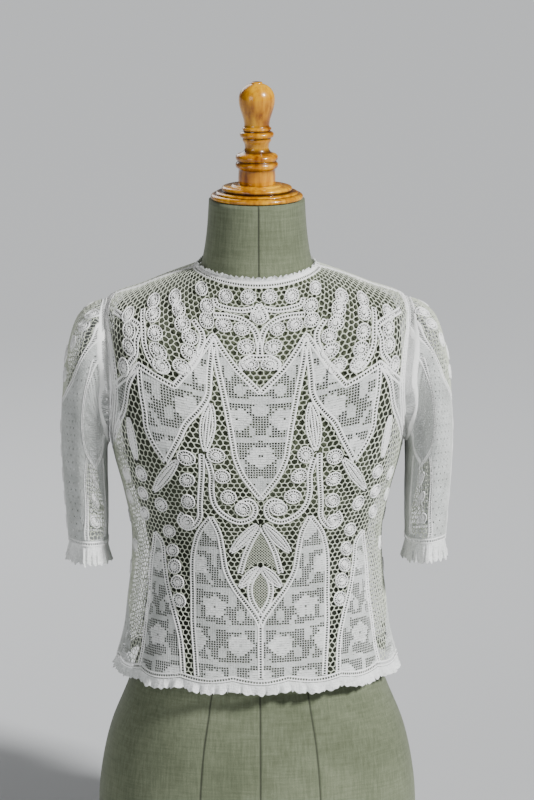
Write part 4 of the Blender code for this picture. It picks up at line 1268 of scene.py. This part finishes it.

# %% [markdown]
# ## Frills
# The cuffs, the hem and the neck end in gathered edging. A frill is a strip whose lower edge is longer than
# its upper one, so it waves. The waves are uneven in width and depth, since gathers never repeat exactly,
# and the free edge has small scallops. The neck's edging stands up, and its picots are the scallops of its
# free edge.
# %% Gathered edging
def frill(name, top, out, node, depth, waves, swing, flare, picots, scallop, closed=False, up=False):
    """A gathered strip on a ring of points, in millimetres.

    top is the ring that the strip hangs from, or stands on if it goes up, and out points away from the
    body. node is the part of the CAD model that the strip replaces, which is hidden. swing is how far its
    waves reach to each side, and flare how far its free edge stands out.
    """
    turn = np.linspace(0, 2 * math.pi, len(top))
    wander = turn + 0.04 * np.sin(5 * turn + waves)
    fold = np.cos(waves * wander) + 0.45 * np.cos(round(1.62 * waves) * wander + 2)
    fold = fold * (0.75 + 0.35 * np.cos(7 * turn + 1))
    lean = 0.8 * swing * np.sin(waves * wander)
    along = unit(np.gradient(top, axis=0))
    drop = depth * (1 + 0.06 * np.cos(round(2.3 * waves) * turn) + 0.05 * np.cos(11 * turn))
    drop = drop - scallop * (1 - np.abs(np.cos(picots / 2 * turn)))
    levels = np.array([0, 0.12, 0.26, 0.42, 0.58, 0.73, 0.86, 0.94, 1])
    rows = []
    for level in levels:
        roll = 0.45 if level == 0.94 else 0
        push = flare * level + swing * level**1.1 * fold + roll
        row = top + out * push[:, None] + along * (lean * level)[:, None]
        row[:, 2] += (1 if up else -1) * drop * level
        rows.append(row)
    if closed:
        rows = [np.vstack([row[:-1], row[:1]]) for row in rows]
    quads = grid_faces(len(levels), len(top))
    mesh = bpy.data.meshes.new(name)
    mesh.from_pydata(np.vstack(rows) * 0.001, [], (quads[:, ::-1] if up else quads).tolist())
    mesh.shade_smooth()
    mesh.materials.append(EDGING)
    made = link(name, mesh)
    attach(made, "root")
    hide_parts(node)
    length = np.linalg.norm(np.diff(rows[4], axis=0), axis=1).sum() * 0.001
    print(name, len(quads), "faces, a strip", round(length, 3), "m long")
    return made


edging = Finish("edging_cotton", Roughness=0.9, Sheen_Weight=0.2, Specular_IOR_Level=0.2)
age = edging.noise(45, 3)
weave_up, weave_across = edging.noise(700, 1, (1, 1, 0.3)), edging.noise(700, 1, (0.3, 0.3, 1))
white = edging.ramp(
    age * 0.4 + weave_up * 0.3 + weave_across * 0.3, (0.36, (0.62, 0.64, 0.62)), (0.6, (0.90, 0.91, 0.90)))
EDGING = edging.finish(colour=white, height=weave_up + weave_across, strength=0.7, depth=0.0008)

full = np.linspace(-math.pi + 0.004, math.pi - 0.004, 1441)
hem_edge = hem_down(full)
hem_flat = np.stack([full * around(hem_edge), -hem_edge], -1)
hem_top = front_place(hem_flat) - [0, 0, 0.3]
hem_out = level_out(hem_top, BODY_MIDDLE)
frill(
    "hem_edging", hem_top + hem_out * 0.6, hem_out, "hem_frill",
    depth=11.4, waves=60, swing=2.5, flare=2.4, picots=190, scallop=1.3)

neck_turn = np.linspace(-math.pi + 0.008, math.pi - 0.008, 1081)
neck_top = ring_point(BLOUSE_DOWN, BLOUSE_ROWS, neck_turn, 0 * neck_turn) + [0, 0, 0.4]
neck_out = level_out(neck_top)
neck_frill = frill(
    "neck_edging", neck_top + neck_out * 0.5, neck_out, "neck_frill",
    depth=5.2, waves=44, swing=0.9, flare=0.9, picots=66, scallop=2.6, up=True)

cuff_turn = np.linspace(-QUARTER, 3 * QUARTER, 901)
cuff = sleeve_rings(cuff_turn)[-1]
cuff_out = level_out(cuff - cuff.mean(0))
for side, sign in (("left", 1), ("right", -1)):
    ring, ring_out = ((points * [sign, 1, 1])[::sign] for points in (cuff + [0, 0, 0.4], cuff_out))
    frill(
        f"cuff_edging_{side}", ring, ring_out, f"cuff_frill_{side}",
        depth=22.0, waves=20, swing=2.9, flare=3.0, picots=74, scallop=1.8, closed=True)

# %% [markdown]
# ## The back fastening
# A narrow band covers the meeting edges of the two backs, and eight small pearl buttons close it.
# %% Band and buttons
band_path = np.stack([np.zeros(90), -np.linspace(2.5, HEM - 2.5, 90)], -1)
band = Work()
band_offsets = np.array([-6.5, -6.1, -5.2, -2, 2, 5.2, 6.1, 6.5])
band.add(*sweep(band_path, band_offsets, np.array([1.7, 2.6, 2.5, 2.9, 2.9, 2.5, 2.6, 1.7])))
stitches = np.linspace(4, HEM - 4, 150)
for offset in (-4.9, 4.9):
    first = np.stack([0 * stitches + offset, -stitches], -1)
    band.add(*bars(first, first - [0, 1.9], 0.3, 2.6, 3.1))
back_band = band.piece("button_band", back_place, EDGING)
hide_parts("back_band")

pearl = Finish("pearl_button", Roughness=0.3, Coat_Weight=0.5, Coat_Roughness=0.1, Subsurface_Weight=0.0)
swirl = pearl.noise(260, 3, (1, 1, 0.5))
shine = pearl.ramp(swirl, (0.35, (0.60, 0.57, 0.50)), (0.5, (0.82, 0.80, 0.74)), (0.66, (0.90, 0.90, 0.88)))
PEARL = pearl.finish(colour=shine, roughness=swirl * 0.2 + 0.2, height=swirl, strength=0.08, depth=0.0004)


def one_button():
    """A pearl button lying flat at the origin, in metres: dished, with a raised rim and four holes."""
    bpy.ops.mesh.primitive_cylinder_add(vertices=40, radius=0.0045, depth=0.0023, location=(0, 0, 0))
    made = bpy.context.object
    bpy.ops.object.mode_set(mode="EDIT")
    bpy.ops.mesh.select_all(action="SELECT")
    bpy.ops.mesh.bevel(offset=0.0005, segments=3)
    bpy.ops.mesh.select_all(action="DESELECT")
    bpy.ops.object.mode_set(mode="OBJECT")
    for face in made.data.polygons:
        face.select = face.normal.z > 0.99
    bpy.ops.object.mode_set(mode="EDIT")
    bpy.ops.mesh.inset(thickness=0.0008, depth=0)
    bpy.ops.mesh.inset(thickness=0.0004, depth=-0.0005)
    bpy.ops.object.mode_set(mode="OBJECT")
    for number in range(4):
        turn = number * QUARTER + 0.785
        way = Vector((math.cos(turn), math.sin(turn), 0)) * 0.0012
        bpy.ops.mesh.primitive_cylinder_add(vertices=12, radius=0.00048, depth=0.006, location=way)
        drill = bpy.context.object
        hole = made.modifiers.new("hole", "BOOLEAN")
        hole.object, hole.operation, hole.solver = drill, "DIFFERENCE", "EXACT"
        bpy.context.view_layer.objects.active = made
        bpy.ops.object.modifier_apply(modifier=hole.name)
        bpy.data.objects.remove(drill)
    bpy.ops.object.select_all(action="DESELECT")
    made.select_set(True)
    bpy.ops.object.shade_smooth_by_angle(angle=math.radians(35))
    made.select_set(False)
    return made


pattern = one_button()
down = np.linspace(0, HEM, 900)
centre_back = np.stack([0 * down, -down], -1)
heights = back_place(centre_back)[:, 2] * 0.001
for number in range(1, 9):
    low, high = (np.array(corner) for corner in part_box(f"button_{number}"))
    middle = Vector((low + high) / 2)
    way = Vector(outward(back_place, centre_back[[np.argmin(np.abs(heights - middle.z))]])[0])
    made = link(f"pearl_button_{number}", pattern.data.copy())
    turn = way.to_track_quat("Z", "Y").to_matrix().to_4x4()
    turn.translation = middle
    made.data.transform(turn)
    made.data.materials.append(PEARL)
    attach(made, "root")
    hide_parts(f"button_{number}")
bpy.data.objects.remove(pattern)
print("eight buttons")
